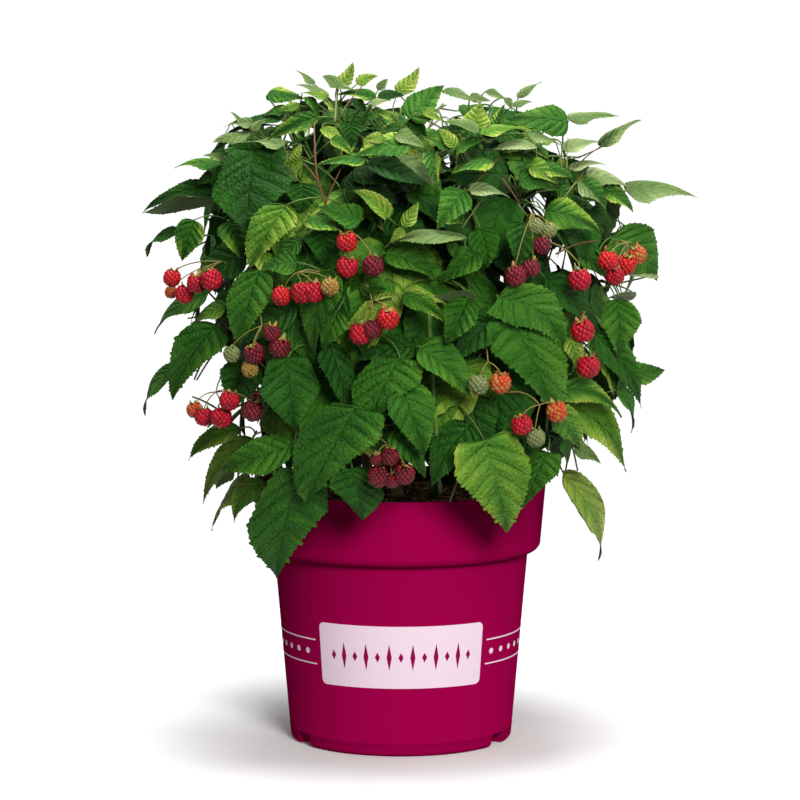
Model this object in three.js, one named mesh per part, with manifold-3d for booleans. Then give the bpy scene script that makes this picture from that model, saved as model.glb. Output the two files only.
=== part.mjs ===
// A raspberry in a pot: a moulded container pot with a deep collar and a drained foot, its potting
// soil, seven canes, the side shoots that grow from them, and the masses of leaves and fruit that
// the canes and shoots carry. Each of these is one solid.
// Millimetres, +Z up, the front faces -Y, and the origin is the middle of the pot's flat underside.

import * as THREE from "three";
import { mergeVertices } from "three/addons/utils/BufferGeometryUtils.js";
import Module from "manifold-3d";

const wasm = await Module();
wasm.setup();

const DEGREE = Math.PI / 180;
const GAP = 0.3; // clear space between two pieces that touch on the real plant
const UP = new THREE.Vector3(0, 0, 1);
const DOWN = new THREE.Vector3(0, 0, -1);

// ---------------------------------------------------------------- driving dimensions

const POT = {
  height: 231,
  rimRadius: 131,
  collarDepth: 59, // from the rim down to the step
  collarRadius: 126.6, // low on the collar, above its round
  collarRound: 9,
  undersideStart: 0.45, // where the collar's underside begins, as a share of its round
  bodyTopRadius: 115.3,
  footRadius: 100.2,
  footRound: 3.5,
  lip: 1.2, // the height of the rim's rounded edge
  lipOutside: 0.8, // and how far it is taken in on each face
  lipInside: 0.4,
  wall: 2.4,
  sides: 32,
};

// Channels under the floor that let water out through notches in the foot.
const DRAIN = { count: 3, firstTurn: 60, width: 25, slope: 2.5, height: 12, start: 36, holeRadius: 5 };

const SOIL = { top: 223, edgeDrop: 4, levelRadius: 62 };

const CANE = {
  ringCount: 6,
  ringTurn: 8,
  footTurn: -14, // the foot of a cane stands a little behind its tip, about the pot
  footRing: 34,
  footLeast: 0.85, // of that ring's radius, and how much more it may be
  footSpread: 0.3,
  waistTurn: -6,
  waistSwing: 12,
  waistRing: 56,
  waistHeight: 360,
  tipRing: 82,
  tipHeight: 478,
  middleShare: 0.12, // the middle cane's rings against those of the others
  middleTipRing: 4,
  middleTipHeight: 496,
  footRadius: 4.1,
  tipRadius: 2.4,
  flare: 1.5, // how much wider the foot is where it meets the soil
  flareHeight: 22,
  sides: 6,
  steps: 6,
};

// A shoot leaves its cane below its tip by the drop, every other one by the stagger as well, and
// never lower above the soil than lowest.
const SHOOT = {
  rootRadius: 2.9,
  tipRadius: 2.2,
  drop: 40,
  stagger: 16,
  lowest: 25,
  bend: 12,
  sides: 5,
  steps: 2,
};

// The crown's outer surface is a barrel with round shoulders: a superellipse turned about +Z.
const CROWN = { middle: 392, radius: 224, above: 212, below: 236, power: 3 };

// One row of masses after another, from the top down. rise is the angle above the middle of the crown.
const TIERS = [
  { name: "top", count: 1, turn: 0, rise: 90, spread: 21, leaves: 6, leaf: 52, fork: 0.78 },
  { name: "shoulder", count: 6, turn: 8, rise: 55, spread: 21, leaves: 7, leaf: 60, fork: 0.62 },
  { name: "upper", count: 7, turn: 0, rise: 23, spread: 22, leaves: 8, leaf: 74, fork: 0.5 },
  { name: "middle", count: 8, turn: 22, rise: -7, spread: 22, leaves: 7, leaf: 82, fork: 0.5 },
  { name: "skirt", count: 7, turn: -28, rise: -36, spread: 22, leaves: 6, leaf: 84, fork: 0.54 },
];

// A leaf has a stalk, an end leaflet and, where there is room, a side leaflet on each hand.
const LEAF = {
  widthShare: 0.8,
  widest: 0.24, // where along the blade
  shoulder: 0.66, // a second corner of its margin
  shoulderShare: 0.6, // the width there against the widest
  sideLength: 0.76, // a side leaflet against the end one
  sideWidthShare: 0.62,
  sideWidest: 0.36,
  sideAngle: 72,
  jointBefore: 0.3, // of the end leaflet's length, back from its root
  stalkBelowJoint: 0.1, // the least stalk left below that joint
  thickness: 0.016, // of the length
  droop: 0.15,
  fold: 0.1, // how far a blade rises from its midrib, for each unit of width
  stalkHalfWidth: 1.1,
};

// How the leaves of a mass are set out: round a spiral, at depths between two shares of the crown.
const SPIRAL = { angle: 137.5, swing: 30, outmost: 0.98, depth: 0.26 };

// Which way a leaf points: the weights of straight down along the surface, of away from the mass's
// middle and of a chance lean aside, then of outwards, which is less where the crown faces up.
const POINTING = { hang: 1.1, splay: 0.6, aside: 0.7, lift: 0.34, liftLoss: 0.62, liftSpread: 0.4 };

// A leaf's size against its tier's, its roll in degrees, and where on the stem its stalk starts:
// near the stem's end for leaves in the middle of a mass, further back for those at its edge.
const VARIETY = { least: 0.86, spread: 0.3, roll: 44 };
const STALK_START = { first: 1.02, fall: 0.85, spread: 0.25, last: 0.92, furthest: 0.8 };

// The leaves that reach furthest, by their tips: turn about the pot from the front towards +X,
// distance from the pot's axis, height, how steeply the tip points down, and the leaf's length.
const FURTHEST_TIPS = [
  { turn: 90, reach: 266, height: 497, dip: 5, length: 62 },
  { turn: -72, reach: 50, height: 610, dip: -38, length: 46 },
  { turn: 60, reach: 22, height: 606, dip: -50, length: 42 },
  { turn: 82, reach: 128, height: 590, dip: -30, length: 46 },
  { turn: 84, reach: 215, height: 558, dip: -28, length: 50 },
  { turn: -88, reach: 233, height: 474, dip: 32, length: 66 },
  { turn: -80, reach: 236, height: 442, dip: 62, length: 52 },
  { turn: -84, reach: 234, height: 297, dip: 62, length: 68 },
  { turn: 82, reach: 237, height: 334, dip: 40, length: 74 },
  { turn: -29, reach: 217, height: 175, dip: 74, length: 92 },
  { turn: 74, reach: 190, height: 165, dip: 72, length: 84 },
  { turn: -68, reach: 184, height: 190, dip: 70, length: 76 },
  { turn: 25, reach: 207, height: 212, dip: 76, length: 88 },
  { turn: 64, reach: 222, height: 244, dip: 55, length: 86 },
  { turn: -4, reach: 196, height: 222, dip: 72, length: 74 },
  { turn: 112, reach: 208, height: 214, dip: 68, length: 80 },
  { turn: 158, reach: 205, height: 188, dip: 72, length: 84 },
  { turn: -142, reach: 214, height: 176, dip: 70, length: 86 },
  { turn: -102, reach: 210, height: 222, dip: 66, length: 78 },
];

const STEM = { rootRadius: 2.2, tipRadius: 1.7, bend: 0.4, end: 0.84, sides: 4, steps: 2 };

// A fruit hangs by its own short stalk and tapers to a blunt point. Its profile is given by shares
// of its length and of its radius.
const FRUIT = { radius: 9.6, length: 21, stalk: 8, stalkRadius: 1.1, sides: 4 };
const FRUIT_PROFILE = [
  [0.42, 0.9],
  [0.76, 0.95],
];

// A truss's stalk leaves the mass's stem at a share of it, bends, and drops a little from each fruit
// to the next. Its fruits hang outwards by the leans in turn, and by a chance amount more.
const TRUSS = {
  stemShare: 0.55,
  rootRadius: 1.4,
  bendShare: 0.6,
  arch: 14,
  spacing: 20.5,
  drop: 5,
  leans: [-4, 9],
  leanSpread: 3,
  sides: 3,
};

// Trusses of ripe fruit: turn about the pot from the front, towards +X, height, and number of fruits.
const FRONT_TRUSSES = [
  { turn: -62, height: 402, fruits: 4 },
  { turn: -25, height: 397, fruits: 4 },
  { turn: -11, height: 430, fruits: 3 },
  { turn: -6, height: 366, fruits: 3 },
  { turn: -38, height: 344, fruits: 4 },
  { turn: -52, height: 292, fruits: 4 },
  { turn: -3, height: 240, fruits: 4 },
  { turn: 36, height: 430, fruits: 4 },
  { turn: 52, height: 402, fruits: 1 },
  { turn: 70, height: 416, fruits: 4 },
  { turn: 50, height: 352, fruits: 3 },
  { turn: 22, height: 312, fruits: 2 },
  { turn: 38, height: 284, fruits: 3 },
];
const BACK_TRUSSES = { count: 6, firstTurn: 122, turnStep: 23, heights: [300, 385, 430], fruits: 3 };

const MOST_TRIES = 14; // places tried for a leaf before it is left out

// ---------------------------------------------------------------- small helpers

function around(turn, radius, height) {
  const angle = turn * DEGREE;
  return new THREE.Vector3(radius * Math.sin(angle), -radius * Math.cos(angle), height);
}

// The same numbers in the same order for the same seed, each from 0 to 1.
function diceFor(seed) {
  let state = (seed + 1) * 7919;
  const roll = () => {
    state = (state * 16807) % 2147483647;
    return state / 2147483647;
  };
  roll();
  return roll;
}

// Merges a geometry's like points, and leaves out the triangles that this closes up.
function solidOf(geometry) {
  const bare = new THREE.BufferGeometry().setAttribute("position", geometry.getAttribute("position"));
  bare.setIndex(geometry.index);
  const merged = mergeVertices(bare, 1e-4);
  const corners = Array.from(merged.index.array);
  const kept = corners.filter((_, i) => {
    const [a, b, c] = corners.slice(i - (i % 3), i - (i % 3) + 3);
    return a !== b && b !== c && c !== a;
  });
  return new wasm.Manifold(
    new wasm.Mesh({
      numProp: 3,
      vertProperties: new Float32Array(merged.attributes.position.array),
      triVerts: new Uint32Array(kept),
    }),
  );
}

function meshOf(name, solid, material) {
  const { vertProperties, triVerts } = solid.getMesh();
  const geometry = new THREE.BufferGeometry();
  geometry.setAttribute("position", new THREE.BufferAttribute(vertProperties, 3));
  geometry.setIndex(new THREE.BufferAttribute(triVerts, 1));
  geometry.computeVertexNormals();
  const mesh = new THREE.Mesh(geometry, material);
  mesh.name = name;
  return mesh;
}

// Moves every vertex of a geometry: place takes its x, y and z and returns a Vector3.
function reshape(geometry, place) {
  const position = geometry.getAttribute("position");
  for (let i = 0; i < position.count; i++) {
    const { x, y, z } = place(position.getX(i), position.getY(i), position.getZ(i));
    position.setXYZ(i, x, y, z);
  }
  return geometry;
}

function turnedProfile(points, sides) {
  const outline = points.map(([radius, height]) => new THREE.Vector2(radius, height));
  return solidOf(new THREE.LatheGeometry(outline, sides).rotateX(Math.PI / 2));
}

// A limb, stalk or leaf: a straight cylinder whose rings are moved to given places along it, each
// as wide and as deep as it is there. A ring of no width closes to a point.
function limb(rings, sides, widthWay) {
  const straight = new THREE.CylinderGeometry(1, 1, 1, sides, rings.length - 1);
  const shaped = reshape(straight, (x, y, z) => {
    const i = Math.round((y + 0.5) * (rings.length - 1));
    const { at, wide, deep } = rings[i];
    const next = (rings[i + 1] ?? rings[i]).at;
    const last = (rings[i - 1] ?? rings[i]).at;
    const onward = rings[i].onward ?? next.clone().sub(last).normalize();
    const across = widthWay.clone().addScaledVector(onward, -widthWay.dot(onward)).normalize();
    const through = new THREE.Vector3().crossVectors(across, onward);
    return at.clone().addScaledVector(across, x * wide).addScaledVector(through, z * deep);
  });
  return solidOf(shaped);
}

// A round limb along a curve, its radius given by how far along each ring is and where.
function roundLimb(curve, radiusAt, sides, steps) {
  const rings = curve.getPoints(steps).map((at, i) => {
    const radius = radiusAt(i / steps, at);
    return { at, wide: radius, deep: radius, onward: curve.getTangent(i / steps) };
  });
  const chord = curve.getPoint(1).sub(curve.getPoint(0)).normalize();
  const level = new THREE.Vector3().crossVectors(UP, chord);
  return limb(rings, sides, Math.abs(chord.z) > 0.9 ? new THREE.Vector3(1, 0, 0) : level);
}

function taper(root, tip) {
  return (share) => root + (tip - root) * share;
}

// ---------------------------------------------------------------- pot and soil

// Outside radius of the pot's body, which is one straight cone below the collar.
function bodyRadius(height) {
  const stepHeight = POT.height - POT.collarDepth;
  return POT.footRadius + ((POT.bodyTopRadius - POT.footRadius) * height) / stepHeight;
}

function collarRadius(height) {
  const low = POT.height - POT.collarDepth + POT.collarRound;
  const share = (height - low) / (POT.height - low);
  return POT.collarRadius + (POT.rimRadius - POT.collarRadius) * share;
}

// The pot's outline from the underside's middle up to the rim, taken in by an even amount.
function potOutline(inset) {
  const step = POT.height - POT.collarDepth;
  const round = POT.collarRound;
  const foot = POT.footRound;
  return [
    [0, inset],
    [POT.footRadius - foot - inset / 2, inset],
    [bodyRadius(foot) - inset, Math.max(foot, inset + 1)],
    [bodyRadius(step) - inset, step + inset],
    [POT.collarRadius - round * POT.undersideStart - inset, step + inset],
    [POT.collarRadius - inset, step + round],
  ];
}

function channel(turn, grow) {
  const halfTop = DRAIN.width / 2 - DRAIN.slope + grow;
  const halfFoot = DRAIN.width / 2 + grow;
  const below = grow > 0 ? 0 : -1;
  const section = new THREE.Shape([
    new THREE.Vector2(-halfFoot, below),
    new THREE.Vector2(halfFoot, below),
    new THREE.Vector2(halfTop, DRAIN.height + grow),
    new THREE.Vector2(-halfTop, DRAIN.height + grow),
  ]);
  const depth = POT.rimRadius - DRAIN.start + grow;
  const bar = new THREE.ExtrudeGeometry(section, { depth, bevelEnabled: false });
  bar.rotateX(Math.PI / 2).translate(0, -(DRAIN.start - grow), 0).rotateZ(turn * DEGREE);
  return solidOf(bar);
}

function drainHole(turn) {
  const middle = around(turn, (DRAIN.start + POT.footRadius) / 2, DRAIN.height);
  const pin = new THREE.CylinderGeometry(DRAIN.holeRadius, DRAIN.holeRadius, 4 * POT.wall, 8);
  return solidOf(pin.rotateX(Math.PI / 2).translate(middle.x, middle.y, middle.z));
}

function drainTurns() {
  return Array.from({ length: DRAIN.count }, (_, i) => DRAIN.firstTurn + (i * 360) / DRAIN.count);
}

function makePot() {
  const { height, rimRadius, lip, lipOutside, lipInside, wall, sides } = POT;
  const outside = [...potOutline(0), [rimRadius, height - lip], [rimRadius - lipOutside, height]];
  const inside = [...potOutline(wall), [rimRadius - wall, height - lip]].reverse();
  const shell = turnedProfile([...outside, [rimRadius - wall + lipInside, height], ...inside], sides);
  const filled = turnedProfile([...outside, [0, height]], sides);
  const roofs = drainTurns().map((turn) => channel(turn, wall).intersect(filled));
  const cuts = drainTurns().flatMap((turn) => [channel(turn, 0), drainHole(turn)]);
  return wasm.Manifold.union([shell, ...roofs]).subtract(wasm.Manifold.union(cuts));
}

function makeSoil() {
  const inset = POT.wall + GAP;
  const edge = SOIL.top - SOIL.edgeDrop;
  const outline = [
    ...potOutline(inset),
    [collarRadius(edge) - inset, edge],
    [SOIL.levelRadius, SOIL.top],
    [0, SOIL.top],
  ];
  const roofs = drainTurns().map((turn) => channel(turn, inset));
  return turnedProfile(outline, POT.sides).subtract(wasm.Manifold.union(roofs));
}

// ---------------------------------------------------------------- the crown's surface

function direction(turn, rise) {
  const level = Math.cos(rise * DEGREE);
  return around(turn, level, Math.sin(rise * DEGREE));
}

// The point of the crown's surface seen from its middle in a direction, or inside it at a share.
function onCrown(way, share = 1) {
  const { radius, above, below, power, middle } = CROWN;
  const level = Math.hypot(way.x, way.y) / radius;
  const rise = Math.abs(way.z) / (way.z > 0 ? above : below);
  const reach = share / Math.pow(level ** power + rise ** power, 1 / power);
  return new THREE.Vector3(way.x * reach, way.y * reach, middle + way.z * reach);
}

// The crown's outward normal in a direction.
function outward(way) {
  const { radius, above, below } = CROWN;
  const level = Math.hypot(way.x, way.y);
  const rise = (way.z * Math.abs(way.z)) / (way.z > 0 ? above : below) ** 3;
  const flat = level / radius ** 3;
  return new THREE.Vector3(way.x * flat, way.y * flat, rise).normalize();
}

// The direction from the crown's middle of the surface point at a turn and a height.
function directionAt(turn, height) {
  const { radius, above, below, power, middle } = CROWN;
  const rise = Math.abs(height - middle) / (height > middle ? above : below);
  const level = radius * Math.pow(Math.max(0, 1 - rise ** power), 1 / power);
  return around(turn, level, height - middle).normalize();
}

// Two level and upright directions along the crown's surface.
function alongSurface(normal) {
  const level = new THREE.Vector3().crossVectors(UP, normal);
  if (level.length() < 0.05) level.set(1, 0, 0);
  level.normalize();
  return { level, upright: new THREE.Vector3().crossVectors(normal, level) };
}

// ---------------------------------------------------------------- canes, shoots and masses

function planMasses() {
  const masses = [];
  for (const tier of TIERS) {
    for (let i = 0; i < tier.count; i++) {
      const turn = tier.turn + (i * 360) / tier.count;
      const way = direction(turn, tier.rise);
      masses.push({ ...tier, name: `foliage_${tier.name}_${i + 1}`, turn, way, number: masses.length });
    }
  }
  return masses;
}

function caneCurve(number) {
  const middle = number === 0;
  const turn = CANE.ringTurn + (number - 1) * (360 / CANE.ringCount);
  const dice = diceFor(900 + number);
  const ring = middle ? CANE.middleShare : 1;
  const footRadius = CANE.footRing * ring * (CANE.footLeast + CANE.footSpread * dice());
  const foot = around(turn + CANE.footTurn, footRadius, SOIL.top + GAP);
  const rising = foot.clone().setZ(SOIL.top + CANE.flareHeight);
  const waistTurn = turn + CANE.waistTurn + CANE.waistSwing * dice();
  const waist = around(waistTurn, CANE.waistRing * ring, CANE.waistHeight);
  const tip = middle
    ? around(turn, CANE.middleTipRing, CANE.middleTipHeight)
    : around(turn, CANE.tipRing, CANE.tipHeight);
  return new THREE.CatmullRomCurve3([foot, rising, waist, tip]);
}

function makeCane(curve, extra = 0) {
  const tipHeight = curve.getPoint(1).z;
  const radiusAt = (_, at) => {
    const height = at.z - SOIL.top - GAP;
    const share = height / (tipHeight - SOIL.top - GAP);
    const flare = (CANE.flare - 1) * Math.max(0, 1 - height / CANE.flareHeight) ** 2;
    return (CANE.footRadius + (CANE.tipRadius - CANE.footRadius) * share) * (1 + flare) + extra;
  };
  return roundLimb(curve, radiusAt, CANE.sides, CANE.steps);
}

// The point of a curve nearest to a height.
function pointAtHeight(curve, height) {
  const points = curve.getSpacedPoints(60);
  return points.reduce((best, p) => (Math.abs(p.z - height) < Math.abs(best.z - height) ? p : best));
}

// A side shoot leaves the cane that stands nearest on its side and rises to its mass.
function shootCurve(mass, caneCurves) {
  const tip = onCrown(mass.way, mass.fork);
  const side = new THREE.Vector3(mass.way.x, mass.way.y, 0).normalize();
  const drop = SHOOT.drop + (mass.number % 2) * SHOOT.stagger;
  const height = Math.max(tip.z - drop, SOIL.top + SHOOT.lowest);
  const roots = caneCurves.slice(1).map((curve) => pointAtHeight(curve, height));
  const root = roots.reduce((best, p) => (p.dot(side) > best.dot(side) ? p : best));
  const bend = root.clone().lerp(tip, 0.5);
  bend.z += SHOOT.bend;
  return new THREE.QuadraticBezierCurve3(root, bend, tip);
}

// ---------------------------------------------------------------- leaves and fruit

// Where a leaf of a mass stands: on a golden-angle spiral over the mass's part of the crown.
function planLeaf(mass, number, attempt) {
  const dice = diceFor(mass.number * 1000 + number * 20 + attempt);
  const share = Math.sqrt((number + 0.5) / mass.leaves);
  const swing = (number * SPIRAL.angle + SPIRAL.swing * dice()) * DEGREE;
  const middleNormal = outward(mass.way);
  const { level, upright } = alongSurface(middleNormal);
  const spread = Math.tan(mass.spread * share * DEGREE);
  const way = mass.way
    .clone()
    .addScaledVector(level, spread * Math.cos(swing))
    .addScaledVector(upright, spread * Math.sin(swing))
    .normalize();
  const depth = SPIRAL.outmost - SPIRAL.depth * dice();
  const face = outward(way);
  const middle = onCrown(way, depth);
  const splay = middle.clone().sub(onCrown(mass.way, depth));
  splay.addScaledVector(face, -splay.dot(face)).normalize();
  const hang = DOWN.clone().addScaledVector(face, face.z);
  const tipward = hang
    .multiplyScalar(POINTING.hang)
    .addScaledVector(splay, POINTING.splay)
    .addScaledVector(level, POINTING.aside * (dice() - 0.5))
    .normalize();
  const lift = POINTING.lift - POINTING.liftLoss * Math.max(0, face.z);
  tipward.addScaledVector(face, lift + POINTING.liftSpread * (dice() - 0.5)).normalize();
  const length = mass.leaf * (VARIETY.least + VARIETY.spread * dice());
  const roll = VARIETY.roll * (dice() - 0.5) * DEGREE;
  const root = middle.clone().addScaledVector(tipward, -0.5 * length);
  const { first, fall, spread: chance, last } = STALK_START;
  const stemShare = Math.min(last, first - fall * share + chance * (dice() - 0.5));
  return { root, tipward, face: facing(tipward, face, roll), length, stemShare };
}

// The outward normal of a blade that points tipward, rolled about its own length.
function facing(tipward, normal, roll) {
  const flat = normal.clone().addScaledVector(tipward, -normal.dot(tipward)).normalize();
  return flat.applyAxisAngle(tipward, roll);
}

// Where a leaf stands whose tip is given.
function planTip({ turn, reach, height, dip, length }) {
  const away = around(turn, 1, 0);
  const slope = dip * DEGREE;
  const tipward = away.clone().multiplyScalar(Math.cos(slope)).addScaledVector(DOWN, Math.sin(slope));
  const face = facing(tipward, away.add(UP).normalize(), 0);
  const root = around(turn, reach, height)
    .addScaledVector(tipward, -length)
    .addScaledVector(face, LEAF.droop * length);
  return { root, tipward, face, length, stemShare: STALK_START.furthest };
}

// The right half of a leaf's outline, flat, from the foot of its stalk to its tip: how far along
// and across each corner is from its anchor, the leafstalk's foot, its joint or its end.
function halfOutline(length, hasPair) {
  const half = LEAF.stalkHalfWidth;
  const halfWidth = (length * LEAF.widthShare) / 2;
  const sideLength = length * LEAF.sideLength;
  const angle = LEAF.sideAngle * DEGREE;
  const sidePoint = (along, across) => ({
    anchor: "joint",
    across: half + sideLength * (along * Math.sin(angle) - across * Math.cos(angle)),
    along: sideLength * (along * Math.cos(angle) + across * Math.sin(angle)),
  });
  const pair = [
    { anchor: "joint", across: half, along: 0 },
    sidePoint(LEAF.sideWidest, -LEAF.sideWidthShare / 2),
    sidePoint(1, 0),
    sidePoint(LEAF.sideWidest, LEAF.sideWidthShare / 2),
  ];
  return [
    { anchor: "foot", across: half, along: 0 },
    ...(hasPair ? pair : []),
    { anchor: "end", across: half, along: 0 },
    { anchor: "end", across: halfWidth, along: length * LEAF.widest },
    { anchor: "end", across: halfWidth * LEAF.shoulderShare, along: length * LEAF.shoulder },
    { anchor: "end", across: 0, along: length },
  ];
}

// A leaf: a thin slab of its flat outline, each corner of which is then moved to its place, so that
// the stalk runs from the stem and the blades fold up from their midribs and droop to their tips.
function makeLeaf({ root, tipward, face, length, stemShare }, stem, hasPair) {
  const foot = stem.getPointAt(stemShare);
  const stalkLength = foot.distanceTo(root);
  const joint = root.clone().lerp(foot, (LEAF.jointBefore * length) / stalkLength);
  const side = new THREE.Vector3().crossVectors(tipward, face);
  const stalkFace = new THREE.Vector3().crossVectors(side, root.clone().sub(foot)).normalize();
  const bendFace = stalkFace.clone().add(face).normalize();
  bendFace.divideScalar(Math.max(0.5, bendFace.dot(face)));
  const anchors = {
    foot: { at: foot, level: 0, face: stalkFace },
    joint: { at: joint, level: stalkLength - joint.distanceTo(root), face: bendFace },
    end: { at: root, level: stalkLength, face: bendFace },
  };
  const right = halfOutline(length, hasPair);
  const left = right.slice(0, -1).map((corner) => ({ ...corner, across: -corner.across })).reverse();
  const corners = [...right, ...left].map(({ anchor, across, along }) => {
    const { at, level, face: through } = anchors[anchor];
    const rise = LEAF.fold * Math.abs(across) - (LEAF.droop * along * along) / length;
    const spot = at.clone().addScaledVector(side, across).addScaledVector(tipward, along);
    const onBlade = along > 0 || Math.abs(across) > LEAF.stalkHalfWidth;
    return {
      flat: new THREE.Vector2(across, level + along),
      spot: onBlade ? spot.addScaledVector(face, rise) : spot,
      through: onBlade ? face : through,
    };
  });
  const slab = new THREE.ExtrudeGeometry(new THREE.Shape(corners.map((corner) => corner.flat)), {
    depth: 1,
    bevelEnabled: false,
  });
  return solidOf(
    reshape(slab, (x, y, z) => {
      const offset = (corner) => Math.hypot(corner.flat.x - x, corner.flat.y - y);
      const corner = corners.reduce((best, each) => (offset(each) < offset(best) ? each : best));
      const height = (z - 0.5) * LEAF.thickness * length;
      return corner.spot.clone().addScaledVector(corner.through, height);
    }),
  );
}

// A truss: a stalk that arches out of the leaves, with a fruit hanging from each place along its end.
function makeTruss({ turn, height, fruits }, stem, number) {
  const way = directionAt(turn, height);
  const { level } = alongSurface(outward(way));
  const dice = diceFor(5000 + number);
  const hand = dice() < 0.5 ? -1 : 1;
  const foot = stem.getPointAt(TRUSS.stemShare);
  const first = onCrown(way).addScaledVector(UP, FRUIT.stalk);
  const onward = level.clone().multiplyScalar(hand * TRUSS.spacing);
  onward.addScaledVector(DOWN, TRUSS.drop);
  const tops = Array.from({ length: fruits }, (_, i) => first.clone().addScaledVector(onward, i));
  const bend = foot.clone().lerp(first, TRUSS.bendShare).addScaledVector(UP, TRUSS.arch);
  const thinning = taper(TRUSS.rootRadius, FRUIT.stalkRadius);
  const stalkRings = [foot, bend, ...tops].map((at, i) => {
    const radius = thinning(i / (fruits + 1));
    return { at, wide: radius, deep: radius };
  });
  const fruitSolids = tops.map((top, i) => {
    const bottom = top.clone().addScaledVector(DOWN, FRUIT.stalk + FRUIT.length);
    bottom.addScaledVector(outward(way), TRUSS.leans[i % 2] + TRUSS.leanSpread * dice());
    const body = FRUIT_PROFILE.map(([along, share]) => [along, share * FRUIT.radius]);
    const rings = [[0, FRUIT.stalkRadius], ...body, [1, 0]].map(([along, radius]) => ({
      at: top.clone().lerp(bottom, along),
      wide: radius,
      deep: radius,
    }));
    return limb(rings, FRUIT.sides, level);
  });
  return [limb(stalkRings, TRUSS.sides, outward(way).cross(level)), ...fruitSolids];
}

function planTrusses() {
  const { count, firstTurn, turnStep, heights, fruits } = BACK_TRUSSES;
  const back = Array.from({ length: count }, (_, i) => ({
    turn: firstTurn + i * turnStep,
    height: heights[i % heights.length],
    fruits,
  }));
  return [...FRONT_TRUSSES, ...back];
}

// ---------------------------------------------------------------- keeping the masses apart

// Solids already placed, each with the limb or leaf that it belongs to and a ball around it.
const placed = [];

function ballOf(solid) {
  const { min, max } = solid.boundingBox();
  const low = new THREE.Vector3(...min);
  const high = new THREE.Vector3(...max);
  return new THREE.Sphere(low.clone().lerp(high, 0.5), low.distanceTo(high) / 2);
}

function setDown(owner, solids) {
  for (const solid of solids) placed.push({ owner, solid, ball: ballOf(solid) });
}

// True if a solid keeps its gap to everything placed, apart from the limb that it grows from.
function isClear(solid, limbName) {
  const ball = ballOf(solid);
  const near = placed.filter(
    (other) =>
      other.owner !== limbName &&
      other.ball.center.distanceTo(ball.center) < other.ball.radius + ball.radius + GAP,
  );
  return near.every((other) => other.solid.minGap(solid, 2 * GAP) > GAP);
}

// Adds a leaf to a mass if there is room for it, with its pair of side leaflets or without.
function growLeaf(mass, plan) {
  const stalkLength = mass.stem.getPointAt(plan.stemShare).distanceTo(plan.root);
  const hasRoom = stalkLength > (LEAF.jointBefore + LEAF.stalkBelowJoint) * plan.length;
  for (const hasPair of hasRoom ? [true, false] : [false]) {
    const leaf = makeLeaf(plan, mass.stem, hasPair);
    if (!isClear(leaf, mass.name)) continue;
    setDown(`${mass.name} leaf`, [leaf]);
    mass.solids.push(leaf);
    return true;
  }
  return false;
}

function growTruss(mass, truss, number) {
  const solids = makeTruss(truss, mass.stem, number);
  if (!isClear(solids[0], mass.name) || !solids.slice(1).every((solid) => isClear(solid))) return;
  setDown(`${mass.name} truss`, solids);
  mass.solids.push(...solids);
}

function nearestMass(point) {
  const distance = (mass) => point.distanceTo(onCrown(mass.way));
  return masses.reduce((best, mass) => (distance(mass) < distance(best) ? mass : best));
}

// Joins a mass's solids into one and drops any loose scrap.
function joined(solids) {
  const parts = wasm.Manifold.union(solids).decompose();
  return parts.reduce((best, part) => (part.volume() > best.volume() ? part : best));
}

// ---------------------------------------------------------------- materials

function plastic(colour) {
  return new THREE.MeshStandardMaterial({ color: colour, roughness: 0.45, metalness: 0 });
}

function matte(colour) {
  return new THREE.MeshStandardMaterial({ color: colour, roughness: 0.85, metalness: 0 });
}

const potMaterial = plastic(0x98044a);
const soilMaterial = matte(0x2a1d12);
const caneMaterial = matte(0x6d7a3a);
const shootMaterial = matte(0x6f8a3c);
const leafMaterial = matte(0x3c6e24);

// ---------------------------------------------------------------- assembly

const plant = new THREE.Group();
const pot = makePot();
const soil = makeSoil();
plant.add(meshOf("pot", pot, potMaterial), meshOf("soil", soil, soilMaterial));
setDown("pot", [pot, soil]);

const caneCurves = Array.from({ length: CANE.ringCount + 1 }, (_, i) => caneCurve(i));
const canes = caneCurves.map((curve) => makeCane(curve));
const cleared = wasm.Manifold.union(caneCurves.map((curve) => makeCane(curve, GAP)));
canes.forEach((cane, i) => plant.add(meshOf(`cane_${i + 1}`, cane, caneMaterial)));
setDown("canes", canes);

const masses = planMasses();
const shootRadius = taper(SHOOT.rootRadius, SHOOT.tipRadius);
for (const mass of masses) {
  const carrier = mass.number <= CANE.ringCount
    ? caneCurves[mass.number]
    : shootCurve(mass, caneCurves);
  if (mass.number > CANE.ringCount) {
    const whole = roundLimb(carrier, shootRadius, SHOOT.sides, SHOOT.steps);
    const shoot = joined([whole.subtract(cleared)]);
    plant.add(meshOf(mass.name.replace("foliage", "shoot"), shoot, shootMaterial));
    setDown("shoots", [shoot]);
  }
  const onward = carrier.getTangentAt(1);
  const start = carrier.getPointAt(1).addScaledVector(onward, GAP);
  const end = onCrown(mass.way, STEM.end);
  const bend = start.clone().addScaledVector(onward, STEM.bend * start.distanceTo(end));
  mass.stem = new THREE.QuadraticBezierCurve3(start, bend, end);
  mass.solids = [roundLimb(mass.stem, taper(STEM.rootRadius, STEM.tipRadius), STEM.sides, STEM.steps)];
  setDown(mass.name, mass.solids);
}

for (const tip of FURTHEST_TIPS) {
  growLeaf(nearestMass(around(tip.turn, tip.reach, tip.height)), planTip(tip));
}
planTrusses().forEach((truss, number) => {
  growTruss(nearestMass(onCrown(directionAt(truss.turn, truss.height))), truss, number);
});
const mostLeaves = Math.max(...masses.map((mass) => mass.leaves));
for (let number = 0; number < mostLeaves; number++) {
  for (const mass of masses.filter((each) => number < each.leaves)) {
    for (let attempt = 0; attempt < MOST_TRIES; attempt++) {
      if (growLeaf(mass, planLeaf(mass, number, attempt))) break;
    }
  }
}
for (const mass of masses) plant.add(meshOf(mass.name, joined(mass.solids), leafMaterial));

export default plant;
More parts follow.
